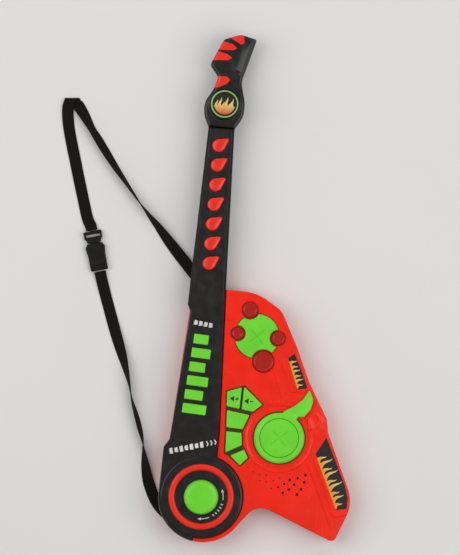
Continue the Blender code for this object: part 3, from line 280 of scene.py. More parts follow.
RED = plastic("red_moulding", (0.93, 0.017, 0.002, 1.0), 0.22, 0.04, gloss=0.26)
RED_KEY = plastic("red_key_moulding", (0.86, 0.020, 0.005, 1.0), 0.22, 0.2)
BLACK = plastic("black_moulding", (0.0052, 0.0042, 0.0036, 1.0), 0.21, 0.03, peel=0.12, gloss=0.46)
BLACK_BUCKLE = plastic("black_buckle_moulding", (0.0050, 0.0046, 0.0042, 1.0), 0.34, peel=0.3, gloss=0.16)
GREEN = plastic("green_moulding", (0.165, 0.70, 0.032, 1.0), 0.24, 0.06, 0.1, gloss=0.30)
# Painted shade: a dark olive laid on the floors of the pad wells, the light pad's pocket, the groove round
# the lever and the small speaker dimples, where shade falls
PAINTED_SHADE = plastic("painted_shade_dark", (0.030, 0.024, 0.003, 1.0), 0.5)
DARK_PRINT = plastic("dark_green_print", (0.006, 0.030, 0.004, 1.0), 0.4)
WHITE_PRINT = plastic("white_print", (0.72, 0.72, 0.70, 1.0), 0.42, shade=0.78)
LABEL = plastic("label_black", (0.006, 0.0035, 0.003, 1.0), 0.30, 0.2)
LENS = lens_plastic()
WEBBING = woven()
BOARD = board_green()
SILICONE = plastic("silicone_grey", (0.50, 0.50, 0.47, 1.0), 0.55, glow=0.2)
STEEL = brushed("zinc_steel", (0.62, 0.62, 0.62, 1.0), (1.0, 0.06, 1.0))
CELL_WRAP = plastic("cell_film", (0.05, 0.09, 0.25, 1.0), 0.3, 0.3)
CONE = plastic("speaker_cone", (0.015, 0.015, 0.015, 1.0), 0.7, peel=0.5)


# Outlines: closed, counterclockwise, from corners (x, y, radius) and arcs (x, y, radius, start, end)

def polar(centre, radius, angle):
    """The point at radius and angle, in radians, from the centre."""
    return (centre[0] + radius * math.cos(angle), centre[1] + radius * math.sin(angle))


def arc_steps(radius, degrees):
    """The number of straight steps that keep an arc within the chord error."""
    step = 2 * math.degrees(math.acos(max(1.0 - CHORD_ERROR / radius, 0.9)))
    return max(3, math.ceil(abs(degrees) / step))


def control_points(items):
    """Each item as (point, radius, direction); an arc's points carry the direction away from its centre."""
    points = []
    for item in items:
        if len(item) == 3:
            points.append((Vector(item[:2]), item[2], None))
            continue
        x, y, radius, start, end = item
        steps = arc_steps(radius, end - start)
        side = 1.0 if end > start else -1.0
        for step in range(steps + 1):
            angle = math.radians(start + (end - start) * step / steps)
            direction = Vector((math.cos(angle), math.sin(angle)))
            points.append((Vector((x, y)) + radius * direction, 0.0, side * direction))
    return points


def outline(items, grow=0.0):
    """The outline's points, moved outwards by grow; every value of grow gives the same number of points."""
    control = control_points(items)
    count = len(control)
    moved = []
    rounding = []
    for index, (point, radius, direction) in enumerate(control):
        before = (point - control[index - 1][0]).normalized()
        after = (control[(index + 1) % count][0] - point).normalized()
        turn = math.atan2(before.x * after.y - before.y * after.x, before.dot(after))
        steps = arc_steps(radius, math.degrees(turn)) if radius else 0
        if direction is None:
            side_before = Vector((before.y, -before.x))
            side_after = Vector((after.y, -after.x))
            direction = (side_before + side_after) / (1.0 + side_before.dot(side_after))
            bend = 1.0 if turn > 0.0 else -1.0
            radius = max(radius + bend * grow, 0.15) if radius else 0.0
        moved.append(point + grow * direction)
        rounding.append((radius, steps))
    points = []
    for index, (corner, (radius, steps)) in enumerate(zip(moved, rounding)):
        if not steps:
            points.append(corner)
            continue
        points.extend(fillet(moved[index - 1], corner, moved[(index + 1) % count], radius, steps))
    return points


def fillet(before, corner, after, radius, steps):
    back = before - corner
    ahead = after - corner
    half = 0.5 * back.angle(ahead)
    reach = min(radius / math.tan(half), 0.48 * back.length, 0.48 * ahead.length)
    start = corner + back.normalized() * reach
    end = corner + ahead.normalized() * reach
    points = []
    for step in range(steps + 1):
        t = step / steps
        points.append((1 - t) ** 2 * start + 2 * t * (1 - t) * corner + t ** 2 * end)
    return points


def inset(items, amount, limit=None):
    """Points moved inwards by amount, or by limit(point) where that is less."""
    base = outline(items)
    if limit is None:
        return outline(items, -amount)
    full = outline(items, -amount)
    return [a.lerp(b, min(1.0, limit(a) / amount) if amount else 0.0) for a, b in zip(base, full)]


def circle(centre, radius):
    steps = max(24, arc_steps(radius, 360.0))
    return [(*polar(centre, radius, 2 * math.pi * i / steps), 0.0) for i in range(steps)]


def rectangle(low, high, radius=1.0):
    return [(high[0], low[1], radius), (high[0], high[1], radius), (low[0], high[1], radius),
            (low[0], low[1], radius)]


def turned_about(points, centre, angle):
    cos = math.cos(math.radians(angle))
    sin = math.sin(math.radians(angle))
    return [(centre[0] + x * cos - y * sin, centre[1] + x * sin + y * cos, radius) for x, y, radius in points]


def band(path, width):
    """A closed strip of the given width round an open path."""
    left = []
    right = []
    for index, point in enumerate(path):
        before = Vector(path[max(index - 1, 0)])
        after = Vector(path[min(index + 1, len(path) - 1)])
        along = (after - before).normalized()
        side = Vector((-along.y, along.x)) * width / 2
        left.append(Vector(point) + side)
        right.append(Vector(point) - side)
    return [(p.x, p.y, 0.0) for p in right + left[::-1]]


def arc_path(centre, radius, start, end, steps=48):
    """Points along an open arc, from start to end in degrees."""
    return [polar(centre, radius,
                  math.radians(start + (end - start) * step / steps)) for step in range(steps + 1)]


def circle_crossing(centre, radius, x):
    """The angle, in degrees, where the circle's upper half crosses x."""
    rise = math.sqrt(radius ** 2 - (x - centre[0]) ** 2)
    return math.degrees(math.atan2(rise, x - centre[0]))


def panel_left_edge(y):
    (top_x, top_y), (low_x, low_y) = PANEL_LEFT_TOP, PANEL_LEFT_LOW
    return top_x + (low_x - top_x) * (y - top_y) / (low_y - top_y)


def panel_outline():
    leave = circle_crossing(KNOB_CENTRE, PANEL_RADIUS, PANEL_RIGHT_LOW[0])
    step = NECK_FOOT - GAP
    return [
        (16.7, NECK_TOP, 1.0),
        (-17.2, NECK_TOP, 1.0),
        (-25.2, NECK_FOOT + 0.6, 0.8),
        (-24.81, step + 0.1, 0.0),
        (-24.72, step - 0.1, 0.0),
        (*PANEL_LEFT_TOP, 2.0),
        (*PANEL_LEFT_LOW, 6.0),
        (*LOBE_SHOULDER, 6.0),
        (*LOBE_CENTRE, LOBE_RADIUS, 180.0, CRESCENT_END),
        (*KNOB_CENTRE, PANEL_RADIUS, CRESCENT_END - 360.0, leave),
        (*PANEL_RIGHT_LOW, 30.0),
        (23.500, step - 0.1, 0.0),
        (23.493, step + 0.1, 0.0),
        (*PANEL_RIGHT_TOP, 30.0),
    ]


def right_side():
    return [
        (86.0, -4.0, 26.0),
        (BODY_RIGHT - 18.0, -46.0, 8.0),
        (BODY_RIGHT + 3.0, 8.0, 48.0),
        (BODY_RIGHT - 36.9, 96.5, 9.0),
        (BODY_RIGHT - 39.5, 113.0, 10.0),
        (BODY_RIGHT - 67.0, 160.5, 30.0),
        (BODY_RIGHT - 86.0, 203.5, 8.0),
        (BODY_RIGHT - 110.0, 249.5, 26.0),
        (BODY_RIGHT - 143.5, BODY_TOP - 1.0, 60.0),
    ]


def back_outline():
    return [
        (24.4, NECK_FOOT - GAP, 1.0),
        (-21.4, NECK_FOOT - GAP, 1.0),
        (*PANEL_LEFT_LOW, 6.0),
        (*LOBE_SHOULDER, 6.0),
        (*LOBE_CENTRE, LOBE_RADIUS, 180.0, CONCAVE_START),
        *right_side(),
        (24.4, BODY_TOP, 2.0),
    ]


def front_outline():
    leave = circle_crossing(KNOB_CENTRE, PANEL_RADIUS + GAP, PANEL_RIGHT_LOW[0] + GAP)
    return [
        (PANEL_RIGHT_TOP[0] + GAP, BODY_TOP, 1.0),
        (PANEL_RIGHT_LOW[0] + GAP, PANEL_RIGHT_LOW[1], 30.0),
        (*KNOB_CENTRE, PANEL_RADIUS + GAP, leave, CRESCENT_END + 1.0 - 360.0),
        (*LOBE_CENTRE, LOBE_RADIUS, CRESCENT_END + 1.0, CONCAVE_START),
        *right_side(),
    ]


HEAD = [
    (17.0, 0.0, 1.0), (27.6, 17.0, 30.0), (27.2, 36.0, 30.0), (20.4, 61.0, 30.0), (36.2, 118.0, 2.5),
    (15.0, 123.0, 14.0), (-6.5, 115.0, 9.0), (-21.8, 80.5, 6.0), (-10.0, 66.0, 9.0), (-15.0, 49.0, 24.0),
    (-25.6, 31.0, 30.0), (-24.2, 14.0, 30.0), (-17.3, 0.0, 1.0),
]


def head_outline(foot=0.0):
    """The head's outline, whose two lowest corners stand foot above the neck's top."""
    return [(x, NECK_TOP + (y or foot), radius) for x, y, radius in HEAD]


def neck_back_outline():
    return [(23.6, NECK_FOOT, 1.0), (16.7, NECK_TOP, 8.0), *head_outline()[1:-1], (-17.2, NECK_TOP, 8.0),
            (-25.2, NECK_FOOT, 1.0)]


FRET_RADIUS = 8.6
FRET_TIP = 18.0
FRET_ANGLE = 38.0
FRET_PITCH = 25.6


def fret_key_outline(index):
    """A drop whose point looks up and to the right."""
    centre = (-1.8, NECK_TOP - 22.0 - index * FRET_PITCH - 1.4)
    spread = math.degrees(math.acos(FRET_RADIUS / FRET_TIP))
    return [
        (*centre, FRET_RADIUS, FRET_ANGLE + spread, FRET_ANGLE + 360.0 - spread),
        (*polar(centre, FRET_TIP, math.radians(FRET_ANGLE)), 3.2),
    ]


SOLO_WIDTHS = (19.5, 25.0, 21.0, 27.7, 24.0, 31.0)


def solo_key_outline(index):
    y = 203.8 - index * 18.2
    half = SOLO_WIDTHS[index] / 2
    centre = (panel_left_edge(y) + 9.9 + half, y)
    return turned_about(rectangle((-half, -6.35), (half, 6.35), 1.2), centre, -3.0)


FACE_PADS = {
    "volume_up_key": [(53.2, 117.8, 1.5), (54.0, 146.2, 1.5), (35.2, 139.0, 1.5), (36.2, 120.0, 1.5)],
    "volume_down_key": [(71.0, 115.4, 1.5), (82.6, 125.7, 1.5), (57.0, 147.2, 1.5), (56.0, 117.4, 1.5)],
    "rhythm_pad_1": [(59.4, 91.6, 1.5), (67.0, 110.8, 1.5), (37.0, 114.9, 1.5), (38.0, 92.6, 1.5)],
    "rhythm_pad_2": [(60.2, 71.0, 1.5), (58.6, 86.8, 1.5), (38.4, 87.4, 1.5), (39.4, 59.6, 1.5)],
    "rhythm_pad_3": [(59.6, 44.4, 1.5), (69.4, 55.2, 1.5), (63.6, 65.4, 1.5), (45.8, 56.2, 1.5)],
}
PAD_WELL = [
    (59.8, 42.3, 1.5), (71.3, 55.0, 1.5), (64.6, 66.9, 1.5), (61.9, 70.2, 1.0), (60.3, 87.0, 1.0),
    (61.0, 91.2, 1.0), (68.4, 110.4, 1.0), (72.0, 113.9, 1.0), (84.7, 125.7, 1.5), (57.6, 149.0, 1.5),
    (53.6, 147.7, 1.0), (33.8, 140.0, 1.5), (34.9, 118.6, 1.0), (36.6, 91.0, 1.0), (37.8, 57.8, 1.5),
    (43.9, 55.4, 1.0),
]
FACE_KEY_TOP = 40.6


def light_pad_outline():
    items = []
    x, y = LIGHT_PAD_CENTRE
    bites = []
    for lens_x, lens_y, lens_radius in LENSES:
        bite = lens_radius + 2.0
        distance = math.hypot(lens_x - x, lens_y - y)
        angle = math.degrees(math.atan2(lens_y - y, lens_x - x)) % 360.0
        along = (LIGHT_PAD_RADIUS ** 2 + distance ** 2 - bite ** 2) / (2 * distance)
        spread = math.degrees(math.acos(along / LIGHT_PAD_RADIUS))
        bite_spread = math.degrees(math.acos((distance - along) / bite))
        bites.append((angle, spread, bite_spread, lens_x, lens_y, bite))
    bites.sort()
    for index, (angle, spread, bite_spread, lens_x, lens_y, bite) in enumerate(bites):
        next_angle, next_spread = bites[(index + 1) % len(bites)][:2]
        if next_angle < angle:
            next_angle += 360.0
        near = angle + 180.0 + bite_spread
        far = angle + 180.0 - bite_spread
        items += [
            (*polar((lens_x, lens_y), bite, math.radians(near)), 0.8),
            (lens_x, lens_y, bite, near - 8.0, far + 8.0),
            (*polar((lens_x, lens_y), bite, math.radians(far)), 0.8),
            (x, y, LIGHT_PAD_RADIUS, angle + spread + 3.0, next_angle - next_spread - 3.0),
        ]
    return items


def horn_outline():
    corners = (
        (-5.0, -2.0, 0.0), (-0.5, -6.2, 0.0), (3.6, -6.0, 1.0), (7.4, -12.4, 3.0), (20.0, -14.6, 10.0),
        (33.0, -10.8, 12.0), (40.8, 0.4, 1.2), (26.0, 1.0, 12.0), (13.4, 5.4, 8.0), (0.0, 13.4, 0.0),
        (-9.5, 15.4, 0.0),
    )
    placed = [(LEVER_RADIUS + along, across, radius) for along, across, radius in corners]
    return turned_about(placed, DRUM_CENTRE, HORN_ANGLE)


# Meshes

def loose_object(name, bm):
    """An object from a mesh in millimetres."""
    bmesh.ops.recalc_face_normals(bm, faces=bm.faces)
    bmesh.ops.scale(bm, verts=bm.verts, vec=(MM, MM, MM))
    mesh = bpy.data.meshes.new(name)
    bm.to_mesh(mesh)
    bm.free()
    made = bpy.data.objects.new(name, mesh)
    bpy.context.scene.collection.objects.link(made)
    return made


def shade(obj, crisp):
    """Smooth shading, with crisp edges where faces meet at more than crisp degrees."""
    obj.data.shade_smooth()
    obj.data.set_sharp_from_angle(angle=math.radians(crisp))


def piece(name, bm, materials, body=ROOT, replaces=(), crisp=38.0, weighted=True):
    """A piece from a mesh in millimetres that rides on a body and stands for the CAD nodes named.
    """
    obj = loose_object(name, bm)
    for material in materials if isinstance(materials, list) else [materials]:
        obj.data.materials.append(material)
    shade(obj, crisp)
    if weighted:
        modifier = obj.modifiers.new("even_shading", "WEIGHTED_NORMAL")
        modifier.keep_sharp = True
        modifier.weight = 100
    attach(obj, body)
    if replaces:
        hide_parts(*([replaces] if isinstance(replaces, str) else replaces))
    return obj


def ring(bm, points, z=None):
    """Vertices of a loop; z is a height, or a function of the point."""
    made = []
    for point in points:
        height = point[2] if z is None else z(point) if callable(z) else z
        made.append(bm.verts.new((point[0], point[1], height)))
    return made


def bridge(bm, first, second):
    count = len(first)
    for index in range(count):
        after = (index + 1) % count
        bm.faces.new((first[index], first[after], second[after], second[index]))


def fill(bm, loops, material=0):
    """Fill the flat area between an outer loop and the loops inside it."""
    edges = []
    for loop in loops:
        for index, vert in enumerate(loop):
            pair = (vert, loop[(index + 1) % len(loop)])
            edges.append(bm.edges.get(pair) or bm.edges.new(pair))
    made = bmesh.ops.triangle_fill(bm, use_beauty=True, use_dissolve=False, edges=edges)
    for element in made["geom"]:
        if isinstance(element, bmesh.types.BMFace):
            element.material_index = material


def face(bm, boundary, features, material=0):
    """Fill a flat face and build its features.

    A feature is (items, steps of (grow, z), inner features or None, index of its floor's material).
    A feature whose inner features are None goes right through, and its last loop is returned.
    """
    loops = [boundary]
    through = []
    for items, steps, inner, inner_slot in features:
        rings = [ring(bm, outline(items, grow), z) for grow, z in steps]
        for first, second in zip(rings, rings[1:]):
            bridge(bm, first, second)
        loops.append(rings[0])
        if inner is None:
            through.append(rings[-1])
        else:
            through.extend(face(bm, rings[-1], inner, inner_slot))
    fill(bm, loops, material)
    return through


def shell(outside, inside, features=()):
    """A shell from its rim to its closed face, as rings of the outside and of the inside."""
    bm = bmesh.new()
    outer = [ring(bm, *one) for one in outside]
    inner = [ring(bm, *one) for one in inside]
    for chain in (outer, inner):
        for first, second in zip(chain, chain[1:]):
            bridge(bm, first, second)
    bridge(bm, outer[0], inner[0])
    through = face(bm, outer[-1], features)
    fill(bm, [inner[-1], *through])
    return bm


def solid(rings, features=(), bm=None):
    """A closed solid through rings, with features on its last face."""
    bm = bm or bmesh.new()
    made = [ring(bm, *one) for one in rings]
    for first, second in zip(made, made[1:]):
        bridge(bm, first, second)
    fill(bm, [made[0]])
    face(bm, made[-1], features)
    return bm


def quarter(radius, steps):
    """Steps over a rounded edge: how far in from the wall, and how far below the top."""
    angles = [0.5 * math.pi * step / steps for step in range(steps + 1)]
    return [(radius * (1 - math.cos(a)), radius * (1 - math.sin(a))) for a in angles]


def rounded(items, low, top, radius, steps=5, limit=None, crown=()):
    """Rings up a wall, over a rounded edge, and on over a slight crown."""
    rings = [(outline(items), low)]
    rings += [(inset(items, amount, limit), top - drop) for amount, drop in quarter(radius, steps)]
    return rings + [(inset(items, radius + amount, limit), top + rise) for amount, rise in crown]


def double_rounded(items, low, high, radius, steps=4):
    """Rings of a plate whose lower and upper edges are both rounded."""
    turns = quarter(radius, steps)
    rings = [(outline(items, -drop), low + amount) for amount, drop in turns]
    return rings + [(outline(items, -amount), high - drop) for amount, drop in turns[1:]]


def lathe(profile, centre, sides=96):
    """A piece turned about the vertical through centre, from closed profile corners (radius, z, rounding)."""
    bm = bmesh.new()
    rings = []
    for radius, z in outline(profile):
        if radius < 0.001:
            rings.append([bm.verts.new((centre[0], centre[1], z))] * sides)
            continue
        angles = [2 * math.pi * side / sides for side in range(sides)]
        rings.append([bm.verts.new((*polar(centre, radius, a), z)) for a in angles])
    for first, second in zip(rings, rings[1:] + rings[:1]):
        for side in range(sides):
            after = (side + 1) % sides
            corners = list(dict.fromkeys((first[side], first[after], second[after], second[side])))
            if len(corners) > 2:
                bm.faces.new(corners)
    return bm


def hole(items, face_z, far_z, gap=KEY_GAP, lip=0.35):
    """A hole right through, with a rounded lip."""
    down = 1.0 if far_z > face_z else -1.0
    return (items, [(gap + lip, face_z), (gap + 0.3 * lip, face_z + down * 0.3 * lip),
                    (gap, face_z + down * lip), (gap, far_z)], None, 0)


def groove(items, z, depth, draft=0.2, material=0):
    """A shallow engraved shape, or a raised one where depth is negative."""
    return (items, [(0.0, z), (-draft, z - depth)], [], material)


def cross(centre, length, width, angle):
    near, far = width / 2, length / 2
    corners = []
    for quarter in range(4):
        corners += turned_about([(far, -near, 0.0), (far, near, 0.0), (near, near, 0.0)], (0.0, 0.0),
                                90.0 * quarter)
    return turned_about(corners, centre, angle)


def decal(name, shapes, z, depth, material, body=ROOT, replaces=()):
    """Thin printed shapes that lie on a face."""
    bm = bmesh.new()
    for items in shapes:
        points = outline(items)
        solid([(points, z), (points, z + depth)], (), bm)
    return piece(name, bm, material, body, replaces, weighted=False)


# Strap: the route's points are x, y, lift above the floor, heading of the webbing's width, and its tilt

STRAP_UPPER_ROUTE = (
    (-4.0, 270.5, 8.6, 42.0, 0.0),
    (-12.0, 279.0, 8.6, 42.0, 0.0),
    (-24.0, 291.5, 7.0, 42.0, 0.0),
    (-34.0, 302.5, 3.8, 42.0, 3.0),
    (-46.0, 315.5, 1.0, 42.0, 12.0),
    (-59.0, 330.0, 0.2, 42.0, 30.0),
    (-73.0, 346.0, 0.2, 42.0, 52.0),
    (-87.0, 361.0, 0.2, 41.0, 74.0),
    (-100.5, 376.5, 0.2, 40.0, 92.0),
    (-116.0, 395.6, 0.2, 37.0, 104.0),
    (-132.4, 415.8, 0.2, 36.0, 119.0),
    (-147.8, 436.2, 0.2, 35.0, 131.0),
    (-160.4, 453.6, 0.2, 34.0, 133.0),
    (-170.0, 466.6, 0.2, 33.0, 127.0),
    (-180.4, 482.2, 0.2, 30.0, 150.0),
    (-189.6, 494.6, 0.2, 20.0, 178.0),
    (-196.4, 502.0, 0.2, 5.0, 180.0),
)
STRAP_FOLD_ROUTE = (
    (-200.9, 502.2, 2.2, 5.0, 180.0),
    (-203.2, 493.4, 2.1, 8.0, 180.0),
    (-203.0, 482.4, 1.5, 11.0, 180.0),
    (-200.2, 466.0, 0.4, 13.0, 180.0),
    (-195.5, 448.0, 0.2, 13.0, 180.0),
    (-190.0, 429.0, 0.2, 14.0, 180.0),
    (-184.5, 410.0, 0.2, 15.0, 180.0),
    (-178.3, 389.0, 0.2, 16.0, 180.0),
    (-172.0, 368.0, 0.2, 16.0, 180.0),
    (-166.0, 349.0, 0.8, 16.0, 180.0),
    (-161.2, 340.0, 2.2, 16.0, 180.0),
    (-158.7, 333.5, 3.0, 16.0, 180.0),
)
STRAP_LOWER_ROUTE = (
    (-143.9, 280.9, 3.2, 15.7, 0.0),
    (-141.0, 271.5, 2.4, 17.0, 0.0),
    (-133.2, 248.0, 0.5, 18.0, 0.0),
    (-128.0, 233.5, 0.2, 18.0, 0.0),
    (-122.8, 219.0, 0.2, 19.0, 4.0),
    (-117.0, 203.0, 0.2, 20.0, 12.0),
    (-111.0, 187.5, 0.2, 20.0, 22.0),
    (-105.0, 172.0, 0.2, 19.0, 38.0),
    (-99.3, 156.0, 0.2, 18.0, 58.0),
    (-93.0, 136.0, 0.2, 17.0, 80.0),
    (-88.3, 117.6, 0.2, 18.0, 93.0),
    (-81.0, 98.0, 0.2, 20.0, 108.0),
    (-74.6, 80.0, 0.2, 16.0, 110.0),
    (-70.4, 67.0, 0.2, 14.0, 98.0),
    (-67.8, 55.0, 0.2, 12.0, 82.0),
    (-64.0, 36.0, 0.2, 12.0, 48.0),
    (-59.0, 15.0, 0.2, 17.0, 18.0),
    (-54.8, 4.0, 0.2, 20.0, 6.0),
    (-50.2, -6.0, 0.3, 26.0, 0.0),
    (-44.0, -16.0, 0.4, 36.0, 0.0),
    (-35.0, -25.5, 0.4, 47.0, 0.0),
    (-24.0, -33.4, 0.4, 58.0, 0.0),
    (-13.0, -39.6, 0.4, 65.0, 0.0),
    (-4.4, -44.0, 0.4, 65.0, 0.0),
)
SLICES_PER_POINT = 10
WEBBING_SECTION = (-0.5, -0.46, -0.3, -0.1, 0.1, 0.3, 0.46, 0.5)


def smooth_between(before, start, end, after, t):
    return tuple(
        0.5 * (2 * b + (c - a) * t + (2 * a - 5 * b + 4 * c - d) * t ** 2 + (3 * b - a - 3 * c + d) * t ** 3)
        for a, b, c, d in zip(before, start, end, after)
    )


def strap_slices(route):
    slices = []
    last = len(route) - 1
    for index in range(last):
        around = (route[max(index - 1, 0)], route[index], route[index + 1], route[min(index + 2, last)])
        for step in range(SLICES_PER_POINT):
            slices.append(smooth_between(*around, step / SLICES_PER_POINT))
    slices.append(route[last])
    placed = []
    for x, y, lift, heading, tilt in slices:
        heading = math.radians(heading)
        tilt = math.radians(tilt)
        rise = WEBBING_WIDTH / 2 * abs(math.sin(tilt)) + WEBBING_DEPTH / 2 * abs(math.cos(tilt))
        across = Vector((math.cos(heading) * math.cos(tilt), math.sin(heading) * math.cos(tilt),
                         math.sin(tilt)))
        placed.append((Vector((x, y, max(lift, 0.15) + rise)), across))
    return placed


def fold_slices(before, after):
    """The turn where the webbing folds over itself: half a circle about a line along its width."""
    start, across = before
    end = after[0]
    outward = Vector((-across.y, across.x, 0.0)).normalized()
    if outward.y < 0:
        outward = -outward
    middle = 0.5 * (start + end)
    half = 0.5 * (end - start)
    turned = []
    for step in range(1, 12):
        angle = math.pi * step / 12
        turned.append((middle - half * math.cos(angle) + 2.0 * math.sin(angle) * outward, across))
    return turned


def webbing(name, slices, node):
    """Flat woven strip: raised selvage at both edges, and ends that are turned square."""
    bm = bmesh.new()
    uv_layer = bm.loops.layers.uv.new("UVMap")
    rings = []
    places = []
    travelled = 0.0
    count = len(WEBBING_SECTION)
    for index, (centre, across) in enumerate(slices):
        before = slices[max(index - 1, 0)][0]
        after = slices[min(index + 1, len(slices) - 1)][0]
        travelled += (centre - before).length
        along = (after - before).normalized()
        normal = along.cross(across)
        stretch = 1.0 / max(normal.length, 0.85)
        normal.normalize()
        corners = []
        for side in (-1.0, 1.0):
            for u in WEBBING_SECTION[::int(-side)]:
                edge = 1.0 if abs(u) in (0.46, 0.3) else 0.86
                depth = WEBBING_DEPTH / 2 * (0.45 if abs(u) == 0.5 else edge)
                corners.append(centre + across * (u * WEBBING_WIDTH * stretch) + normal * (side * depth))
        rings.append([bm.verts.new(corner) for corner in corners])
        places.append(travelled)
    loop_count = 2 * count
    widths = [u * WEBBING_WIDTH for u in WEBBING_SECTION]
    for row in range(len(rings) - 1):
        for index in range(loop_count):
            after = (index + 1) % loop_count
            corner_list = (rings[row][index], rings[row][after], rings[row + 1][after], rings[row + 1][index])
            made = bm.faces.new(corner_list)
            corners = ((index, row), (after, row), (after, row + 1), (index, row + 1))
            for loop, (column, line) in zip(made.loops, corners):
                position = column if column < count else 2 * count - 1 - column
                loop[uv_layer].uv = (widths[position], places[line])
    bm.faces.new(reversed(rings[0]))
    bm.faces.new(rings[-1])
    obj = piece(name, bm, WEBBING, replaces=node, crisp=60.0, weighted=False)
    return obj, travelled


def box_stitches(name, centre, heading, z, half_length, half_width):
    """A sewn box with a cross in it, as short raised stitches."""
    bm = bmesh.new()
    corners = [(-half_length, -half_width), (half_length, -half_width), (half_length, half_width),
               (-half_length, half_width)]
    runs = list(zip(corners, corners[1:] + corners[:1])) + [(corners[0], corners[2]),
                                                            (corners[1], corners[3])]
    for start, end in runs:
        start, end = Vector(start), Vector(end)
        count = max(2, int((end - start).length / 1.9))
        direction = (end - start).normalized()
        angle = math.degrees(math.atan2(direction.y, direction.x))
        for index in range(count):
            middle = start + (end - start) * (index + 0.5) / count
            spot = turned_about([(middle.x, middle.y, 0.0)], centre, heading)[0]
            stitch = turned_about(rectangle((-0.65, -0.2), (0.65, 0.2), 0.18), spot[:2], heading + angle)
            solid(rounded(stitch, z - 0.3, z + 0.16, 0.12, 2), (), bm)
    return piece(name, bm, BLACK_BUCKLE, weighted=False)


def make_strap():
    up_leg = strap_slices(STRAP_UPPER_ROUTE)
    down_leg = strap_slices(STRAP_FOLD_ROUTE)
    upper = up_leg + fold_slices(up_leg[-1], down_leg[0]) + down_leg
    upper_obj, upper_length = webbing("strap_webbing_upper", upper, "strap_upper")
    lower = strap_slices(STRAP_LOWER_ROUTE)
    lower_obj, lower_length = webbing("strap_webbing_lower", lower, "strap_lower")
    plug, socket = make_buckle()
    sewn = [
        box_stitches("strap_stitching_plug", (-163.6, 345.2), 106.0, 3.95, 5.6, 4.6),
        box_stitches("strap_stitching_socket", (-139.2, 266.4), 108.0, 3.15, 5.6, 4.6),
    ]


def placed(bm, centre, heading):
    """Turn and move a mesh made round the origin."""
    bmesh.ops.rotate(bm, verts=bm.verts, cent=(0, 0, 0), matrix=Matrix.Rotation(math.radians(heading), 3,
                                                                                "Z"))
    bmesh.ops.translate(bm, verts=bm.verts, vec=Vector((centre[0], centre[1], 0.0)))
    return bm


def make_buckle():
    place, heading = (-157.3, 328.4), -74.3
    half = 12.0
    low, high = 0.3, 8.3
    bm = bmesh.new()
    bar = [(-4.6, -half, 2.0), (0.0, -half - 0.2, 1.0), (0.0, half + 0.2, 1.0), (-4.6, half, 2.0)]
    solid(double_rounded(bar, low + 1.2, high - 1.6, 1.2), (), bm)
    shoulder = [(3.0, -half, 1.0), (5.6, -half + 1.6, 1.5), (11.0, -half + 3.6, 1.0), (11.0, half - 3.6, 1.0),
                (5.6, half - 1.6, 1.5), (3.0, half, 1.0)]
    solid(double_rounded(shoulder, low + 1.4, high - 1.8, 0.9), (), bm)
    for side in (-1.0, 1.0):
        cheek = rectangle((-2.5, side * (half - 1.4) - 1.3), (6.0, side * (half - 1.4) + 1.3), 0.8)
        solid(double_rounded(cheek, low + 1.3, high - 1.7, 0.9), (), bm)
    prong = [(10.0, -5.0, 0.5), (30.0, -4.0, 1.0), (30.0, 4.0, 1.0), (10.0, 5.0, 0.5)]
    solid(double_rounded(prong, low + 2.4, high - 2.4, 0.6), (), bm)
    plug = piece("buckle_plug_body", placed(bm, place, heading), BLACK_BUCKLE, replaces="buckle_plug")
    items = [
        (11.6, -half + 2.4, 2.0), (17.0, -half - 1.0, 4.0), (27.0, -half + 0.5, 8.0),
        (48.0, -half + 0.6, 2.0), (48.0, half - 0.6, 2.0), (27.0, half - 0.5, 8.0), (17.0, half + 1.0, 4.0),
        (11.6, half - 2.4, 2.0),
    ]
    rings = double_rounded(items, low, high, 2.0, 6)
    dots = [groove(circle((19.0, side * 7.6), 0.9), high, -0.35, 0.25) for side in (-1.0, 1.0)]
    grips = [groove(turned_about(rectangle((-0.45, -6.0), (0.45, 6.0), 0.3), (24.0 + 2.2 * i, 0.0), 0.0),
                    high, 0.35, 0.12)
             for i in range(5)]
    slot_mark = groove(rectangle((40.0, -half + 3.0), (44.0, half - 3.0), 0.6), high, 2.2, 0.3)
    bm = solid(rings, [*dots, *grips, slot_mark])
    socket = piece("buckle_socket_body", placed(bm, place, heading), BLACK_BUCKLE, replaces="buckle_socket")
    return plug, socket


make_strap()


# Shells

def smooth_step(value, low, high):
    t = min(1.0, max(0.0, (value - low) / (high - low)))
    return t * t * (3 - 2 * t)


def beside_panel(point):
    """True on the red face's edge that runs along the black panel or in the crescent round the lobe."""
    along_edge = point.x < 31.5 and 60.0 < point.y < BODY_TOP - 2.0
    round_step = math.hypot(point.x - KNOB_CENTRE[0], point.y - KNOB_CENTRE[1]) < PANEL_RADIUS + 1.2
    return along_edge or round_step


def face_rounding(point):
    """The most that the red face's edge is rounded at a point: hardly at all beside the panel."""
    if beside_panel(point):
        return 0.7
    near = math.hypot(point.x - LOBE_CENTRE[0], point.y - LOBE_CENTRE[1]) < LOBE_RADIUS + 1.0
    if near and point.y < -30.0:
        return 1.5
    return 9.0


def face_hollow(point):
    """The most that the face's inside is drawn in at a point: little in the narrow crescent."""
    near = math.hypot(point.x - LOBE_CENTRE[0], point.y - LOBE_CENTRE[1]) < LOBE_RADIUS + 1.0
    return 1.2 if near and point.x > 5.0 and point.y < -12.0 else 9.0


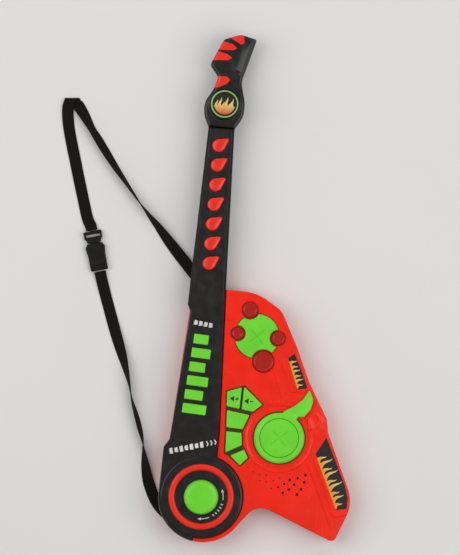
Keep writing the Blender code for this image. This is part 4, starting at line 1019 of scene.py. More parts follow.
SPEAKER_HOLES = (
    (70.0, 42.6, 0.7), (77.8, 37.6, 0.9), (86.4, 34.8, 1.0), (95.2, 34.6, 1.1), (87.2, 26.8, 1.0),
    (96.0, 25.8, 1.1), (105.0, 28.4, 1.1), (112.8, 32.4, 1.0), (103.2, 18.2, 1.1), (111.8, 20.2, 1.2),
    (119.4, 25.2, 1.6), (126.0, 31.2, 1.75), (136.0, 34.0, 1.75), (145.8, 39.0, 1.75), (132.4, 25.4, 1.75),
    (145.2, 29.4, 1.75), (126.0, 18.4, 1.75), (141.8, 20.0, 1.75), (118.4, 13.4, 1.75), (137.0, 12.6, 1.75),
)
UPPER_PAD = [(133.4, 145.0, 2.0), (139.8, 150.4, 2.0), (130.0, 173.4, 8.0), (119.6, 195.6, 3.0),
             (116.2, 199.0, 2.0), (104.8, 187.6, 2.0), (103.0, 182.4, 2.0), (117.4, 145.0, 4.0)]
LOWER_PAD = [(186.4, -13.6, 2.0), (203.4, -8.0, 4.0), (204.2, 12.0, 14.0), (199.0, 30.4, 12.0),
             (168.4, 93.6, 2.0), (165.4, 92.4, 1.5), (154.2, 70.4, 2.0), (152.9, 62.3, 3.0),
             (164.0, 40.5, 4.0)]
UPPER_LABEL = [(139.0, 151.6, 0.8), (129.6, 173.6, 6.0), (118.8, 195.4, 1.0), (110.9, 188.4, 0.8),
               (125.7, 148.6, 0.8)]
LOWER_LABEL = [(189.4, -3.0, 1.0), (202.9, -0.4, 1.5), (203.0, 14.0, 12.0), (197.6, 31.0, 14.0),
               (169.0, 90.2, 0.8), (160.6, 74.6, 2.0), (156.6, 67.8, 3.0), (166.3, 46.4, 6.0),
               (179.2, 18.2, 6.0)]
PAD_RISE = 1.0


def seam_paths():
    """The engraved lines: down from the big lens and round the drum's left, and out along the tail."""
    arc = arc_path(DRUM_CENTRE, 45.0, 89.0, 318.0, 64)
    upper = [(92.8, 170.2), (96.6, 161.4), (100.1, 152.3), (103.6, 143.2), (106.8, 134.6)]
    tail = [(146.4, 53.6), (149.6, 47.2), (154.3, 36.9), (160.8, 23.2), (167.4, 8.9), (177.0, -12.6),
            (184.8, -30.0)]
    return upper, arc, tail


def make_front_face():
    """The red face: openings, seams, raised pads, the drum's dish and the speaker's holes."""
    items = front_outline()
    top = BODY_DEPTH
    under = top - WALL
    low = BODY_PARTING + GAP
    outside = rounded(items, low, top, 2.0, 6, face_rounding)
    inside = [(inset(items, WALL, face_hollow), low), (inset(items, WALL, face_hollow), under - 1.6),
              (inset(items, WALL + 1.6, face_hollow), under)]
    well_floor = top - 1.3
    pads = [hole(pad, well_floor, under, lip=0.2) for pad in FACE_PADS.values()]
    dish_floor = top - 0.8
    pad_steps = [(0.9, top), (0.5, top + 0.15), (-0.1, top + PAD_RISE - 0.1), (-0.6, top + PAD_RISE)]
    # Features whose floor slot is 1 get the painted shade material: the pad well, the groove round the
    # lever's hub and the light pad's pocket read dark as if in shade
    features = [
        (PAD_WELL, [(0.3, top), (0.1, top - 0.1), (0.0, top - 0.4), (0.0, well_floor)], pads, 1),
        (circle(DRUM_CENTRE, 41.0), [(2.6, top), (2.2, top - 0.12), (0.5, dish_floor + 0.1),
                                     (0.0, dish_floor)],
         [(circle(DRUM_CENTRE, 34.6), [(0.0, dish_floor), (-0.3, dish_floor - 0.5)],
           [hole(circle(DRUM_CENTRE, HUB_OUTER), dish_floor - 0.5, under)], 1)], 0),
        (light_pad_outline(), [(0.95, top), (0.85, top - 0.1), (0.8, top - 0.3), (0.8, top - 1.4)],
         [hole(light_pad_outline(), top - 1.4, under, lip=0.15)], 1),
        groove(band([(27.2, 231.4), (34.0, 232.0), (36.6, 232.3)], 0.8), top, 0.4, 0.25),
        (UPPER_PAD, pad_steps, [], 0),
        (LOWER_PAD, pad_steps, [], 0),
        groove([(147.6, 95.9, 0.5), (148.2, 104.2, 0.8), (145.2, 113.0, 0.8), (141.6, 112.2, 0.8),
                (143.8, 96.6, 0.5)],
               top, -1.5, 1.4),
        groove([(157.0, 101.6, 1.0), (161.6, 108.8, 2.0), (153.6, 123.8, 2.0), (150.6, 118.8, 1.0),
                (157.4, 109.4, 1.0)],
               top, -1.2, 1.1),
    ]
    features += [hole(circle((x, y), radius), top, under) for x, y, radius in LENSES]
    features += [groove(band(path, 1.3), top, 0.7, 0.35) for path in seam_paths()]
    # The smallest speaker holes are shallow dimples whose floors get the painted shade material, so they read
    # as dark spots
    features += [hole(circle((x, y), radius), top, under, 0.0, 0.25) if radius > 1.15 else
                 groove(circle((x, y), radius), top, 1.3, 0.2, 1) for x, y, radius in SPEAKER_HOLES]
    bm = shell(outside, inside, features)
    piece("front_case", bm, [RED, PAINTED_SHADE], replaces="body_front_shell", crisp=50.0)


make_front_face()


BACK_PROFILE = ((18.0, 0.0), (17.2, 0.02), (15.6, 0.5), (12.6, 2.2), (9.0, 4.9), (5.0, 8.1), (2.2, 10.9),
                (0.6, 13.4), (0.0, 16.2))
COVER_LOW = (51.2, 130.25)
COVER_HIGH = (98.8, 197.25)
COVER_SCREW = (75.0, 192.75)
SHELL_SCREWS = ((-6.0, 58.0), (8.0, 214.0), (58.0, 226.0), (120.0, 118.0), (168.0, 34.0), (30.0, -28.0))


def block(name, items, low, high, grow=0.0):
    """A straight-sided solid for a Boolean."""
    points = outline(items, grow)
    return loose_object(name, solid([(points, low), (points, high)]))


def apply_boolean(obj, tool, operation="DIFFERENCE"):
    """Cut with the tool, keep the result as the piece's own mesh, and remove the tool."""
    modifier = obj.modifiers.new("cut", "BOOLEAN")
    modifier.operation = operation
    modifier.object = tool
    modifier.solver = "EXACT"
    while obj.modifiers[0] != modifier:
        obj.modifiers.move(len(obj.modifiers) - 1, 0)
    others = [m for m in obj.modifiers if m != modifier]
    for other in others:
        other.show_viewport = False
    graph = bpy.context.evaluated_depsgraph_get()
    mesh = bpy.data.meshes.new_from_object(obj.evaluated_get(graph))
    for other in others:
        other.show_viewport = True
    obj.modifiers.remove(modifier)
    name = obj.data.name
    obj.data = mesh
    mesh.name = name
    bpy.data.objects.remove(tool)


STRAP_BAR_PLACE = ((-11.0, -41.0), -25.0)
STRAP_POCKET = turned_about(rectangle((-11.0, -9.5), (9.0, 9.5), 1.5), *STRAP_BAR_PLACE)
STRAP_WAY = turned_about([(-10.0, -9.0, 0.5), (-10.0, 9.0, 0.5), (-36.0, 12.0, 0.5), (-36.0, -12.0, 0.5)],
                         *STRAP_BAR_PLACE)
POCKET_TOP = 7.0
WAY_TOP = 3.5


def cell_space():
    """The box that holds the three cells and their contact plates, in millimetres."""
    boxes = [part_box(name) for name in ("battery_1", "battery_2", "battery_3", "contact_plate_lower",
                                       "contact_plate_upper")]
    low = [min(box[0][axis] for box in boxes) / MM - GAP for axis in range(3)]
    high = [max(box[1][axis] for box in boxes) / MM + GAP for axis in range(3)]
    return low, high


def make_back_case():
    """The back: rounded under its edge, with the strap's pocket, the cell box and wells for its screws."""
    items = back_outline()
    rings = [(outline(items, -amount), z) for amount, z in BACK_PROFILE]
    rings += [(outline(items), BODY_PARTING - 0.8), (outline(items), BODY_PARTING)]
    obj = piece("back_case", solid(rings), RED, replaces="body_back_shell", crisp=50.0)
    hollow = loose_object("hollow", solid([
        (outline(items, -BACK_TAPER - WALL), WALL), (outline(items, -9.0 - WALL), 6.4),
        (outline(items, -WALL), 13.6), (outline(items, -WALL), BODY_PARTING + 1.0)]))
    apply_boolean(hollow, block("pocket_walls", STRAP_POCKET, -1.0, POCKET_TOP + WALL, WALL))
    apply_boolean(hollow, block("way_walls", STRAP_WAY, -1.2, WAY_TOP + WALL, WALL))
    apply_boolean(obj, hollow)
    apply_boolean(obj, block("pocket", STRAP_POCKET, -1.0, POCKET_TOP))
    apply_boolean(obj, block("way", STRAP_WAY, -1.2, WAY_TOP))
    low, high = cell_space()
    outer = rectangle(COVER_LOW, COVER_HIGH)
    apply_boolean(obj, block("cell_box", outer, 1.0, high[2] + WALL, WALL), "UNION")
    apply_boolean(obj, block("cell_space", rectangle(low[:2], high[:2], 1.0), 1.5, high[2]))
    apply_boolean(obj, block("cover_recess", outer, -1.0, 2.8, KEY_GAP))
    for index, spot in enumerate(SHELL_SCREWS):
        apply_boolean(obj, block("screw_well", circle(spot, 3.6), -1.0, 1.6))
        make_screw(f"case_screw_{index + 1}", spot, 0.9, 3.0)
    shade(obj, 40.0)


def make_screw(name, spot, head_z, radius, replaces=(), shank=9.0):
    """A countersunk screw seen from behind, with a cross recess."""
    rings = [(circle_points(spot, 1.3), head_z + shank), (circle_points(spot, 1.3), head_z + 1.6),
             (circle_points(spot, radius), head_z + 0.5), (circle_points(spot, radius), head_z + 0.15),
             (circle_points(spot, radius - 0.2), head_z)]
    recess = (cross(spot, 3.2, 0.8, 20.0), [(0.0, head_z), (-0.12, head_z + 0.45)], [], 0)
    piece(name, solid(rings, [recess]), STEEL, replaces=replaces)


def circle_points(centre, radius, count=32):
    return [Vector(polar(centre, radius, 2 * math.pi * index / count)) for index in range(count)]


def make_cover():
    """Battery cover: a plate with rounded edges, grip ribs and a well for its screw, flush with the back."""
    items = rectangle(COVER_LOW, COVER_HIGH, 1.2)
    top = 2.5
    low = 0.3
    rings = [(outline(items), top), (outline(items), low + 0.5), (outline(items, -0.15), low + 0.15),
             (outline(items, -0.5), low)]
    ribs = [(rectangle((63.0, 137.0 + 4.2 * i), (87.0, 138.6 + 4.2 * i), 0.7),
             [(0.0, low), (-0.35, low + 0.6)], [], 0)
            for i in range(4)]
    arrow = [(81.0, 163.0, 0.6), (75.0, 171.0, 0.6), (69.0, 163.0, 0.6), (75.0, 165.4, 0.6)]
    mark = (arrow, [(0.0, low), (-0.3, low + 0.5)], [], 0)
    well = (circle(COVER_SCREW, 3.4), [(0.2, low), (0.0, low + 0.2), (0.0, low + 1.0)], [], 0)
    piece("battery_hatch", solid(rings, [*ribs, mark, well]), RED, replaces="battery_cover")
    make_screw("battery_hatch_screw", COVER_SCREW, 0.55, 2.9, "battery_cover_screw")


make_back_case()
make_cover()


def bevel_width(point):
    """Wide bevels along the neck, and a thin one round the control panel."""
    return 0.9 + 2.5 * smooth_step(point.y, 236.0, 262.0)


def make_panel():
    """The neck's front and the control panel in one black shell, with the keys' and the knob's openings."""
    items = panel_outline()
    top = PANEL_FRONT
    under = top - WALL

    def low(point):
        return (NECK_PARTING if point[1] > NECK_FOOT - GAP else BODY_PARTING) + GAP

    def edge(amount, drop):
        return (inset(items, amount, lambda p: bevel_width(p) * amount / 3.4), top - drop)

    outside = [(outline(items), low), (outline(items), top - 2.6), edge(0.25, 2.1), edge(0.7, 1.8),
               edge(3.0, 0.12), edge(3.4, 0.0)]
    inside = [(inset(items, WALL), low), (inset(items, WALL), under - 2.4), (inset(items, WALL + 3.0), under)]
    features = [hole(fret_key_outline(index), top, under) for index in range(7)]
    features += [hole(solo_key_outline(index), top, under) for index in range(6)]
    step = circle(KNOB_CENTRE, DISC_RADIUS - 0.4)
    features.append((step, [(0.4, top), (0.1, top + 0.1), (0.0, top + 0.4), (0.0, DISC_FRONT - 1.1),
                            (-0.3, DISC_FRONT - 0.35), (-1.1, DISC_FRONT)],
                     [(circle(KNOB_CENTRE, 4.0), [(KEY_GAP, DISC_FRONT), (KEY_GAP, under)], None, 0)], 0))
    bm = shell(outside, inside, features)
    piece("neck_front", bm, BLACK, replaces="neck_front_shell", crisp=32.0)


make_panel()


def make_neck_back():
    """The neck's back, with ten shallow grip ribs."""
    items = neck_back_outline()
    radius = 6.5
    outside = [(outline(items), NECK_PARTING), (outline(items), NECK_PARTING - 0.6)]
    outside += [(outline(items, -amount), NECK_BACK + drop) for amount, drop in quarter(radius, 8)]
    inside = [(outline(items, -WALL), NECK_PARTING), (outline(items, -WALL), NECK_BACK + radius + 0.6),
              (outline(items, -WALL - 4.6), NECK_BACK + WALL)]
    grips = []
    for index in range(10):
        y = 300.0 + 17.0 * index
        grips.append(groove(rectangle((-9.0, y), (9.0, y + 1.2), 0.55), NECK_BACK, -0.4, 0.35))
    piece("neck_spine", shell(outside, inside, grips), BLACK, replaces="neck_back_shell",
          crisp=50.0)


make_neck_back()


def half_space_wedge(name, cuts, size=120.0):
    """A block kept only where it is outside each plane (point, normal), for cutting facets."""
    bm = bmesh.new()
    bmesh.ops.create_cube(bm, size=size)
    bmesh.ops.translate(bm, verts=bm.verts, vec=cuts[0][0])
    for point, normal in cuts:
        geometry = bm.verts[:] + bm.edges[:] + bm.faces[:]
        made = bmesh.ops.bisect_plane(bm, geom=geometry, plane_co=point, plane_no=normal, clear_inner=True)
        edges = [e for e in made["geom_cut"] if isinstance(e, bmesh.types.BMEdge)]
        bmesh.ops.contextual_create(bm, geom=edges)
    return loose_object(name, bm)


def upward_normal(first, second):
    """The normal of the plane that holds both directions, turned upwards."""
    normal = Vector(first).cross(Vector(second)).normalized()
    return -normal if normal.z < 0 else normal


def make_head():
    """The head, with the badge's raised boss and its flat cut facets."""
    items = head_outline(GAP)
    top = PANEL_FRONT
    under = top - WALL - 5.0
    low = NECK_PARTING + GAP
    outside = rounded(items, low, top, 3.6, 8)
    inside = [(outline(items, -WALL), low), (outline(items, -WALL), under - 1.0),
              (outline(items, -WALL - 1.5), under)]
    boss = circle(BADGE_CENTRE, BADGE_RADIUS + 1.5)
    crest = top + 2.0
    features = [(boss, [(1.6, top), (1.0, top + 0.15), (0.4, top + 0.8), (0.0, crest - 0.4), (-0.4, crest)],
                 [(circle(BADGE_CENTRE, BADGE_RADIUS), [(0.2, crest), (0.0, crest - 0.2), (0.0, crest - 0.5)],
                   [], 0)],
                 0)]
    obj = piece("head_front", shell(outside, inside, features), BLACK, replaces="head_front_shell",
                crisp=40.0)
    ridge = Vector((10.5, 557.7, top))
    facet = upward_normal(Vector((31.0, 597.0, top)) - ridge, (1.0, -0.52, -0.42))
    lower = upward_normal((10.5, -8.6, 0.0), (0.25, 0.6, -0.75))
    apply_boolean(obj, half_space_wedge("head_facet", [(ridge, facet), (ridge, lower)]))
    edge = Vector((45.1, -13.1, 0.0)).normalized()
    slope = math.radians(32.0)
    steep = (edge * math.cos(slope) + Vector((0.0, 0.0, math.sin(slope)))).normalized()
    place = Vector((25.4, 572.0, 37.0)) - edge * 0.2
    above = (Vector((22.6, 549.0, top)), Vector((0.0, 1.0, 0.0)))
    apply_boolean(obj, half_space_wedge("head_edge_facet", [(place, steep), above]))
    shade(obj, 32.0)


make_head()


# Keys, pads, lever and knob

DROP_CROWN = ((0.8, 0.16), (2.0, 0.30), (3.4, 0.38), (4.8, 0.42))
PAD_CROWN = ((0.5, 0.05), (1.4, 0.09))


def make_keys():
    """The fret keys, the green keys, the face pads and the light pad."""
    for index in range(7):
        name = f"fret_key_{index + 1}"
        rings = rounded(fret_key_outline(index), PANEL_FRONT - 3.6, PANEL_FRONT + 3.1, 1.9, 6,
                        crown=DROP_CROWN)
        piece(f"fret_cap_{index + 1}", solid(rings), RED_KEY, name, name, weighted=False)
    for index in range(6):
        name = f"solo_key_{index + 1}"
        rings = rounded(solo_key_outline(index), PANEL_FRONT - 3.6, PANEL_FRONT + 2.5, 0.9, 4,
                        crown=PAD_CROWN)
        piece(f"solo_cap_{index + 1}", solid(rings), GREEN, name, name)
    for name, items in FACE_PADS.items():
        rings = rounded(items, BODY_DEPTH - 3.6, FACE_KEY_TOP - 0.1, 0.9, 4, crown=PAD_CROWN)
        piece(f"{name}_cap", solid(rings), GREEN, name, name)
    rings = rounded(light_pad_outline(), BODY_DEPTH - 3.6, FACE_KEY_TOP, 0.9, 4)
    mark = groove(cross(LIGHT_PAD_CENTRE, 25.0, 1.3, 43.0), FACE_KEY_TOP, 0.7, 0.4)
    piece("light_pad_cap", solid(rings, [mark]), GREEN, "light_pad", "light_pad")


def make_drum():
    top = DRUM_TOP
    items = circle(DRUM_CENTRE, DRUM_RADIUS)
    rings = rounded(items, HUB_FOOT - GAP - 1.6, top, 1.1, 5, crown=((0.5, -0.02), (1.2, -0.10)))
    mark = groove(cross(DRUM_CENTRE, 27.0, 1.3, 43.0), top - 0.10, 0.7, 0.4)
    piece("drum_cap", solid(rings, [mark]), GREEN, "drum_pad", "drum_pad")


def make_lever():
    """Ring and horn in one, rounded over, on the hub that turns in the face."""
    top = LEVER_TOP
    profile = [
        (HUB_INNER, HUB_FOOT, 0.0), (HUB_OUTER, HUB_FOOT, 0.0), (HUB_OUTER, LEVER_FOOT, 0.0),
        (LEVER_RADIUS, LEVER_FOOT, 0.4), (LEVER_RADIUS, top - 1.6, 1.4), (LEVER_RADIUS - 2.4, top, 2.2),
        (HUB_INNER + 1.0, top - 0.5, 0.6), (HUB_INNER, top - 1.4, 0.4),
    ]
    obj = piece("lever_ring", lathe(profile, DRUM_CENTRE), GREEN, "whammy_lever", "whammy_lever",
                weighted=False)
    items = horn_outline()
    foot = BODY_DEPTH + HORN_LIFT
    rings = [(outline(items), foot)]
    rings += rounded(items, foot + 0.3, top - 0.6, 1.5, 5)[1:]
    apply_boolean(obj, loose_object("horn", solid(rings)), "UNION")
    shade(obj, 38.0)


def make_knob():
    """The power knob and the red ring round it."""
    top = KNOB_TOP
    profile = [
        (0.0, 37.8, 0.0), (4.0, 37.8, 0.0), (4.0, DISC_FRONT + GAP, 0.0),
        (KNOB_RADIUS - 0.4, DISC_FRONT + GAP, 0.5), (KNOB_RADIUS, DISC_FRONT + 3.0, 1.0),
        (KNOB_RADIUS - 0.3, top - 3.2, 2.0), (KNOB_RADIUS - 2.2, top - 0.4, 2.0),
        (KNOB_RADIUS - 7.0, top + 0.2, 8.0), (0.0, top + 0.75, 0.0),
    ]
    piece("knob_cap", lathe(profile, KNOB_CENTRE, 128), GREEN, "power_knob", "power_knob",
          weighted=False)
    low = DISC_FRONT + GAP
    rise = low + 2.8
    profile = [
        (RING_INNER, low, 0.2), (RING_OUTER, low, 0.2), (RING_OUTER, low + 1.3, 0.8),
        (RING_OUTER - 1.6, rise, 1.6), (RING_INNER + 1.6, rise, 1.6), (RING_INNER, low + 1.3, 0.8),
    ]
    piece("dial_ring", lathe(profile, KNOB_CENTRE, 128), RED_KEY, replaces="knob_ring",
          weighted=False)


def make_lenses():
    """The lamps' clear caps, each with a raised rim and a hollow."""
    for index, (x, y, radius) in enumerate(LENSES):
        top = BODY_DEPTH + 4.2
        profile = [
            (radius - 1.5, 30.6, 0.0), (radius + 0.2, 30.6, 0.0), (radius, BODY_DEPTH + 1.4, 0.6),
            (radius - 0.5, top - 1.4, 1.2), (radius - 2.4, top + 0.1, 1.4), (radius - 3.2, top - 0.5, 0.5),
            (0.0, top - 0.15, 0.0), (0.0, top - 1.8, 0.0), (radius - 3.2, top - 2.4, 0.0),
            (radius - 1.6, top - 3.4, 0.0),
        ]
        piece(f"lamp_cap_{index + 1}", lathe(profile, (x, y), 72), LENS, replaces=f"light_lens_{index + 1}",
              weighted=False)


make_keys()
make_drum()
make_lever()
make_knob()
make_lenses()


# Prints, badge and flames

def tongue(base, up, side, length, width, sway):
    """One generic flame: an S-shaped tongue that tapers from a flared foot to a point."""
    left = []
    right = []
    steps = 26
    for step in range(steps + 1):
        t = step / steps
        swing = sway * math.sin(1.75 * math.pi * t) * (0.45 + 0.75 * t)
        centre = base + up * (length * t) + side * swing
        half = 0.5 * width * (1.0 - t) ** 0.9 + 0.3 * width * max(0.0, 1.0 - t / 0.25) ** 2 + 0.05
        left.append(centre + side * half)
        right.append(centre - side * half)
    return [(p.x, p.y, 0.0) for p in right + left[::-1]]


def inside(polygon, point):
    crossings = 0
    for index, first in enumerate(polygon):
        second = polygon[index - 1]
        if (first.y > point.y) != (second.y > point.y):
            x = first.x + (point.y - first.y) / (second.y - first.y) * (second.x - first.x)
            crossings += point.x < x
    return crossings % 2 == 1


def flame_row(label, root, along, out, spots, width, sway):
    """A band along the root edge and the tongues that rise from it, kept inside the label."""
    edge = outline(label, -0.7)
    along = Vector(along).normalized()
    out = Vector(out).normalized()
    root = Vector(root)
    reach = spots[-1][0] + 0.5 * width
    foot = [root, root + out * 1.6, root + along * reach + out * 1.6, root + along * reach]
    shapes = [[(p.x, p.y, 0.0) for p in foot[::-1]]]
    for spot, length, lean in spots:
        up = (out + lean * along).normalized()
        side = Vector((-up.y, up.x))
        base = root + along * spot + out * 0.6
        items = tongue(base, up, side, length, width, sway)
        while length > 4.0 and not all(inside(edge, Vector(p[:2])) for p in items[10:-10]):
            length -= 0.5
            items = tongue(base, up, side, length, width, sway)
        shapes.append(items)
    return shapes


def flame_film(name, shapes, z, material):
    """Printed tongues, each a hair higher than the last so that none lie in the same plane."""
    bm = bmesh.new()
    for index, items in enumerate(shapes):
        points = outline(items)
        solid([(points, z), (points, z + 0.06 + 0.008 * index)], (), bm)
    return piece(name, bm, material, weighted=False)


ORANGE = (0.78, 0.33, 0.012, 1.0)
CREAM = (0.78, 0.56, 0.20, 1.0)
# Each row of flames: label, direction of its tongues, root, colour change along it in metres, width, sway,
# and its tongues as (place along the root, length, lean)
FLAME_ROWS = {
    "lower": (LOWER_LABEL, (0.907, 0.421), (188.4, -1.4), (0.003, 0.011), 5.6, 1.5,
              ((3.2, 10.0, 0.2), (10.8, 16.0, 0.28), (18.2, 12.0, 0.2), (26.0, 21.0, 0.3), (34.0, 14.0, 0.2),
               (42.4, 22.0, 0.3), (50.4, 14.0, 0.2), (58.4, 19.0, 0.3), (66.6, 12.0, 0.25))),
    "upper": (UPPER_LABEL, (0.934, 0.357), (125.7, 149.8), (0.002, 0.008), 4.6, 1.2,
              ((2.8, 8.5, 0.2), (8.8, 13.0, 0.28), (15.0, 9.5, 0.2), (21.4, 13.5, 0.28), (27.6, 9.0, 0.2),
               (33.8, 11.5, 0.28))),
}


def make_labels():
    """Two black films on their raised pads, each with a row of printed flames."""
    z = BODY_DEPTH + PAD_RISE
    for end, items in (("upper", UPPER_LABEL), ("lower", LOWER_LABEL)):
        decal(f"label_film_{end}", [items], z - 0.2, 0.3, LABEL, replaces=f"flame_label_{end}")
    for end, (items, (out_x, out_y), root, change, width, sway, spots) in FLAME_ROWS.items():
        out = Vector((out_x, out_y))
        base = (root[0] * out.x + root[1] * out.y) * MM
        film = printed(f"flame_print_{end}", ORANGE, CREAM, (base + change[0], base + change[1]), out)
        shapes = flame_row(items, root, (-out_y, out_x), out, spots, width, sway)
        flame_film(f"flame_row_{end}", shapes, z + 0.1, film)


def make_badge():
    x, y = BADGE_CENTRE
    low = PANEL_FRONT + 1.6
    inner = BADGE_RADIUS - 2.0
    profile = [(inner, low, 0.0), (BADGE_RADIUS - 0.2, low, 0.0), (BADGE_RADIUS - 0.2, low + 1.2, 0.5),
               (BADGE_RADIUS - 0.9, low + 2.0, 0.6), (inner + 0.5, low + 2.0, 0.6), (inner, low + 1.3, 0.3)]
    pale = plastic("badge_green", (0.30, 0.62, 0.17, 1.0), 0.28, 0.3)
    piece("badge_rim", lathe(profile, BADGE_CENTRE), pale, replaces="badge_ring",
          weighted=False)
    decal("badge_film", [circle(BADGE_CENTRE, inner - 0.2)], low, 0.9, LABEL, replaces="badge_label")
    bowl = [(*polar(BADGE_CENTRE, 13.6, math.radians(a)), 0.0) for a in range(192, 349, 6)]
    shapes = [bowl]
    for spot, length, lean, width in ((-10.4, 9.5, -0.02, 4.6), (-6.2, 13.5, 0.05, 5.2),
                                      (-1.6, 8.5, -0.05, 4.6), (2.4, 14.5, 0.0, 5.6), (7.0, 9.0, 0.05, 4.6),
                                      (10.2, 12.0, -0.05, 4.8)):
        up = Vector((lean, 1.0)).normalized()
        base = Vector((x + spot, y - 5.4 + 0.01 * spot ** 2))
        shapes.append(tongue(base, up, Vector((-up.y, up.x)), length, width, 1.1))
    film = printed("flame_print_badge", (0.66, 0.10, 0.010, 1.0), (0.80, 0.56, 0.16, 1.0),
                   ((y - 12.0) * MM, (y - 1.0) * MM), (0.0, 1.0))
    flame_film("badge_flames", shapes, low + 0.9, film)


HEAD_FLAMES = (
    [(17.0, 109.4, 2.5), (20.6, 112.6, 2.5), (18.8, 121.6, 3.0), (17.0, 128.0, 0.5), (-4.0, 125.0, 0.5),
     (1.4, 117.6, 0.8)],
    [(-26.0, 100.0, 0.5), (7.2, 101.8, 2.5), (12.0, 104.6, 1.6), (5.0, 109.8, 7.0), (-8.0, 112.6, 3.0),
     (-26.0, 116.0, 0.5)],
    [(-34.0, 86.0, 0.5), (1.0, 88.2, 2.5), (6.4, 91.6, 1.6), (-1.0, 96.4, 7.0), (-13.0, 99.0, 3.0),
     (-34.0, 101.0, 0.5)],
    [(-30.0, 48.2, 0.5), (-9.0, 52.0, 6.0), (2.0, 57.4, 5.0), (6.0, 63.4, 1.8), (0.4, 67.0, 4.0),
     (-9.0, 66.6, 3.0), (-28.0, 64.6, 0.5)],
)


def make_head_flames():
    """Raised tongues let into the front of the head, which wrap over its rounded left edge."""
    head = head_outline(GAP)
    low, top, edge = NECK_PARTING + 2.5, PANEL_FRONT + 0.7, 3.7
    for index, corners in enumerate(HEAD_FLAMES):
        items = [(px, NECK_TOP + py, radius) for px, py, radius in corners]
        prism = [(outline(items), low - 2.0), (outline(items), top + 2.0)]
        obj = piece(f"head_tongue_{index + 1}", solid(prism), RED_KEY, replaces=f"head_flame_{index + 1}",
                    crisp=40.0)
        rings = [(outline(head, 0.12), low)]
        rings += [(outline(head, 0.12 - amount), top - drop) for amount, drop in quarter(edge, 8)]
        apply_boolean(obj, loose_object("skin", solid(rings)), "INTERSECT")
        soften(obj, 0.45)


def soften(obj, width):
    """Round the crisp edges a little."""
    modifier = obj.modifiers.new("soft_edge", "BEVEL")
    modifier.width = width * MM
    modifier.segments = 3
    modifier.limit_method = "ANGLE"
    modifier.angle_limit = math.radians(50.0)
    modifier.harden_normals = False
    obj.modifiers.move(len(obj.modifiers) - 1, 0)


def make_marks():
    """Generic marks in place of words: lozenges and bars in two rows, chevrons, arrows, and volume signs."""
    lozenge = [(2.5, -2.3, 0.6), (2.3, 2.9, 0.8), (-1.9, 3.5, 0.8), (-2.5, -3.1, 0.6)]
    shapes = [turned_about(lozenge, (-12.6 + 6.5 * index, 224.9 - 0.75 * index), -8.0 + 10.0 * (index % 2))
              for index in range(4)]
    for index in range(7):
        tall = 3.3 if index % 2 else 4.0
        bar = [(2.2, -tall, 0.7), (2.4, tall, 0.7), (-1.9, tall - 0.5, 0.7), (-2.2, 0.6 - tall, 0.7)]
        shapes.append(turned_about(bar, (-31.0 + 6.5 * index, 56.2 + 1.85 * index), 15.0))
    chevron = [(-1.4, -3.2, 0.2), (0.4, -3.2, 0.2), (2.0, 0.0, 0.3), (0.4, 3.2, 0.2), (-1.4, 3.2, 0.2),
               (0.2, 0.0, 0.3)]
    shapes += [turned_about(chevron, (15.0 + 5.1 * index, 69.4 + 1.4 * index), 14.0) for index in range(3)]
    decal("panel_marks", shapes, PANEL_FRONT - 0.1, 0.2, WHITE_PRINT)
    shapes = []
    for start, end, tip in ((-4.0, 16.0, 1.0), (-64.0, -86.0, -1.0)):
        shapes.append(band(arc_path(KNOB_CENTRE, DIAL_MARK_RADIUS, start, end, 12), 1.1))
        head = [(0.0, -1.9, 0.2), (4.4, 0.0, 0.2), (0.0, 1.9, 0.2)]
        spot = polar(KNOB_CENTRE, DIAL_MARK_RADIUS, math.radians(end))
        shapes.append(turned_about(head, spot, end + 90.0 * tip))
    for angle in (-16.0, -25.0, -34.0, -43.0, -52.0):
        spot = polar(KNOB_CENTRE, DIAL_MARK_RADIUS, math.radians(angle))
        shapes.append(turned_about(rectangle((-1.5, -0.8), (1.5, 0.8), 0.4), spot, angle))
    decal("dial_marks", shapes, DISC_FRONT - 0.1, 0.2, WHITE_PRINT)
    speaker = [(-5.0, -1.5, 0.3), (-3.2, -1.5, 0.3), (-0.2, -4.2, 0.5), (-0.2, 4.2, 0.5), (-3.2, 1.5, 0.3),
               (-5.0, 1.5, 0.3)]
    for name, (x, y) in (("volume_up_key", (45.4, 130.4)), ("volume_down_key", (64.4, 128.6))):
        plus, minus = cross((x + 3.6, y), 4.2, 1.4, 0.0), rectangle((x + 1.7, y - 0.7), (x + 5.6, y + 0.7),
                                                                    0.3)
        shapes = [turned_about(speaker, (x, y), 0.0), plus if name == "volume_up_key" else minus]
        decal(f"{name}_sign", shapes, FACE_KEY_TOP - 0.05, 0.1, DARK_PRINT, name)


make_labels()
make_badge()
make_head_flames()
make_marks()


# Carried-over CAD nodes: inner pieces and the strap's fittings

def dress(nodes, material):
    for name in nodes:
        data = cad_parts[name].data
        data.materials.clear()
        data.materials.append(material)


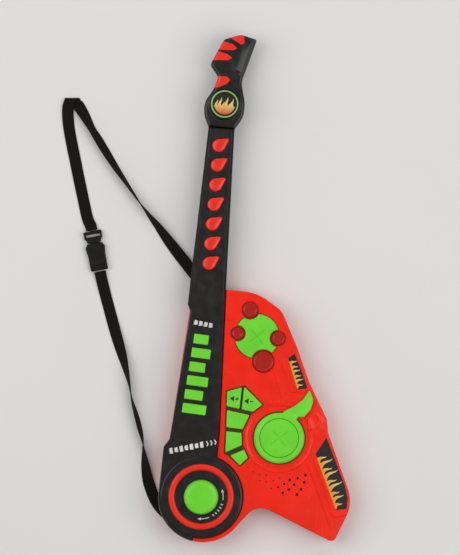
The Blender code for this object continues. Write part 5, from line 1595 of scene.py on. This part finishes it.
dress(["main_board", "panel_board", "neck_board"], BOARD)
dress(["solo_key_mat", "fret_key_mat"], SILICONE)
dress(["battery_1", "battery_2", "battery_3"], CELL_WRAP)
dress(["contact_plate_lower", "contact_plate_upper"], STEEL)
dress(["speaker"], CONE)
dress(["rotary_switch"], BLACK)
dress(["strap_loop_neck", "strap_bar_tail"], BLACK_BUCKLE)


# Floor and light

FLOOR_REACH = 4000.0
LIGHT_AIM = Vector((0.0, 0.28, 0.0))


def floor_material():
    n = Nodes("studio_floor")
    tone = n.mix(n.ramp(n.noise(3.0, 2.0), 0.3, 0.7, 0.0, 1.0), (0.775, 0.77, 0.76, 1.0),
                 (0.79, 0.785, 0.775, 1.0))
    return n.finish(Base_Color=tone, Roughness=0.9, Specular_IOR_Level=0.1)


def make_floor():
    bm = bmesh.new()
    corners = [(-FLOOR_REACH, -FLOOR_REACH, 0.0), (FLOOR_REACH, -FLOOR_REACH, 0.0),
               (FLOOR_REACH, FLOOR_REACH, 0.0), (-FLOOR_REACH, FLOOR_REACH, 0.0)]
    bm.faces.new([bm.verts.new(corner) for corner in corners])
    floor = loose_object("floor", bm)
    floor.data.materials.append(floor_material())


def make_light(name, place, size, power):
    data = bpy.data.lights.new(name, "AREA")
    data.shape = "RECTANGLE"
    data.size, data.size_y = size
    data.energy = power
    light = bpy.data.objects.new(name, data)
    bpy.context.scene.collection.objects.link(light)
    place = Vector(place)
    direction = LIGHT_AIM - place
    light.matrix_world = Matrix.Translation(place) @ direction.to_track_quat("-Z", "Y").to_matrix().to_4x4()


make_floor()
make_light("left_softbox", (-1.35, 0.45, 2.0), (1.4, 2.2), 20.6)
make_light("right_softbox", (1.35, 0.15, 2.0), (1.4, 2.2), 19.6)
make_light("head_softbox", (0.1, 2.0, 1.9), (2.0, 1.4), 10.3)
world = bpy.data.worlds.new("studio")
world.use_nodes = True
world.node_tree.nodes["Background"].inputs["Color"].default_value = (1.0, 0.995, 0.985, 1.0)
world.node_tree.nodes["Background"].inputs["Strength"].default_value = 0.33
bpy.context.scene.world = world
bpy.context.scene.view_settings.view_transform = "Standard"
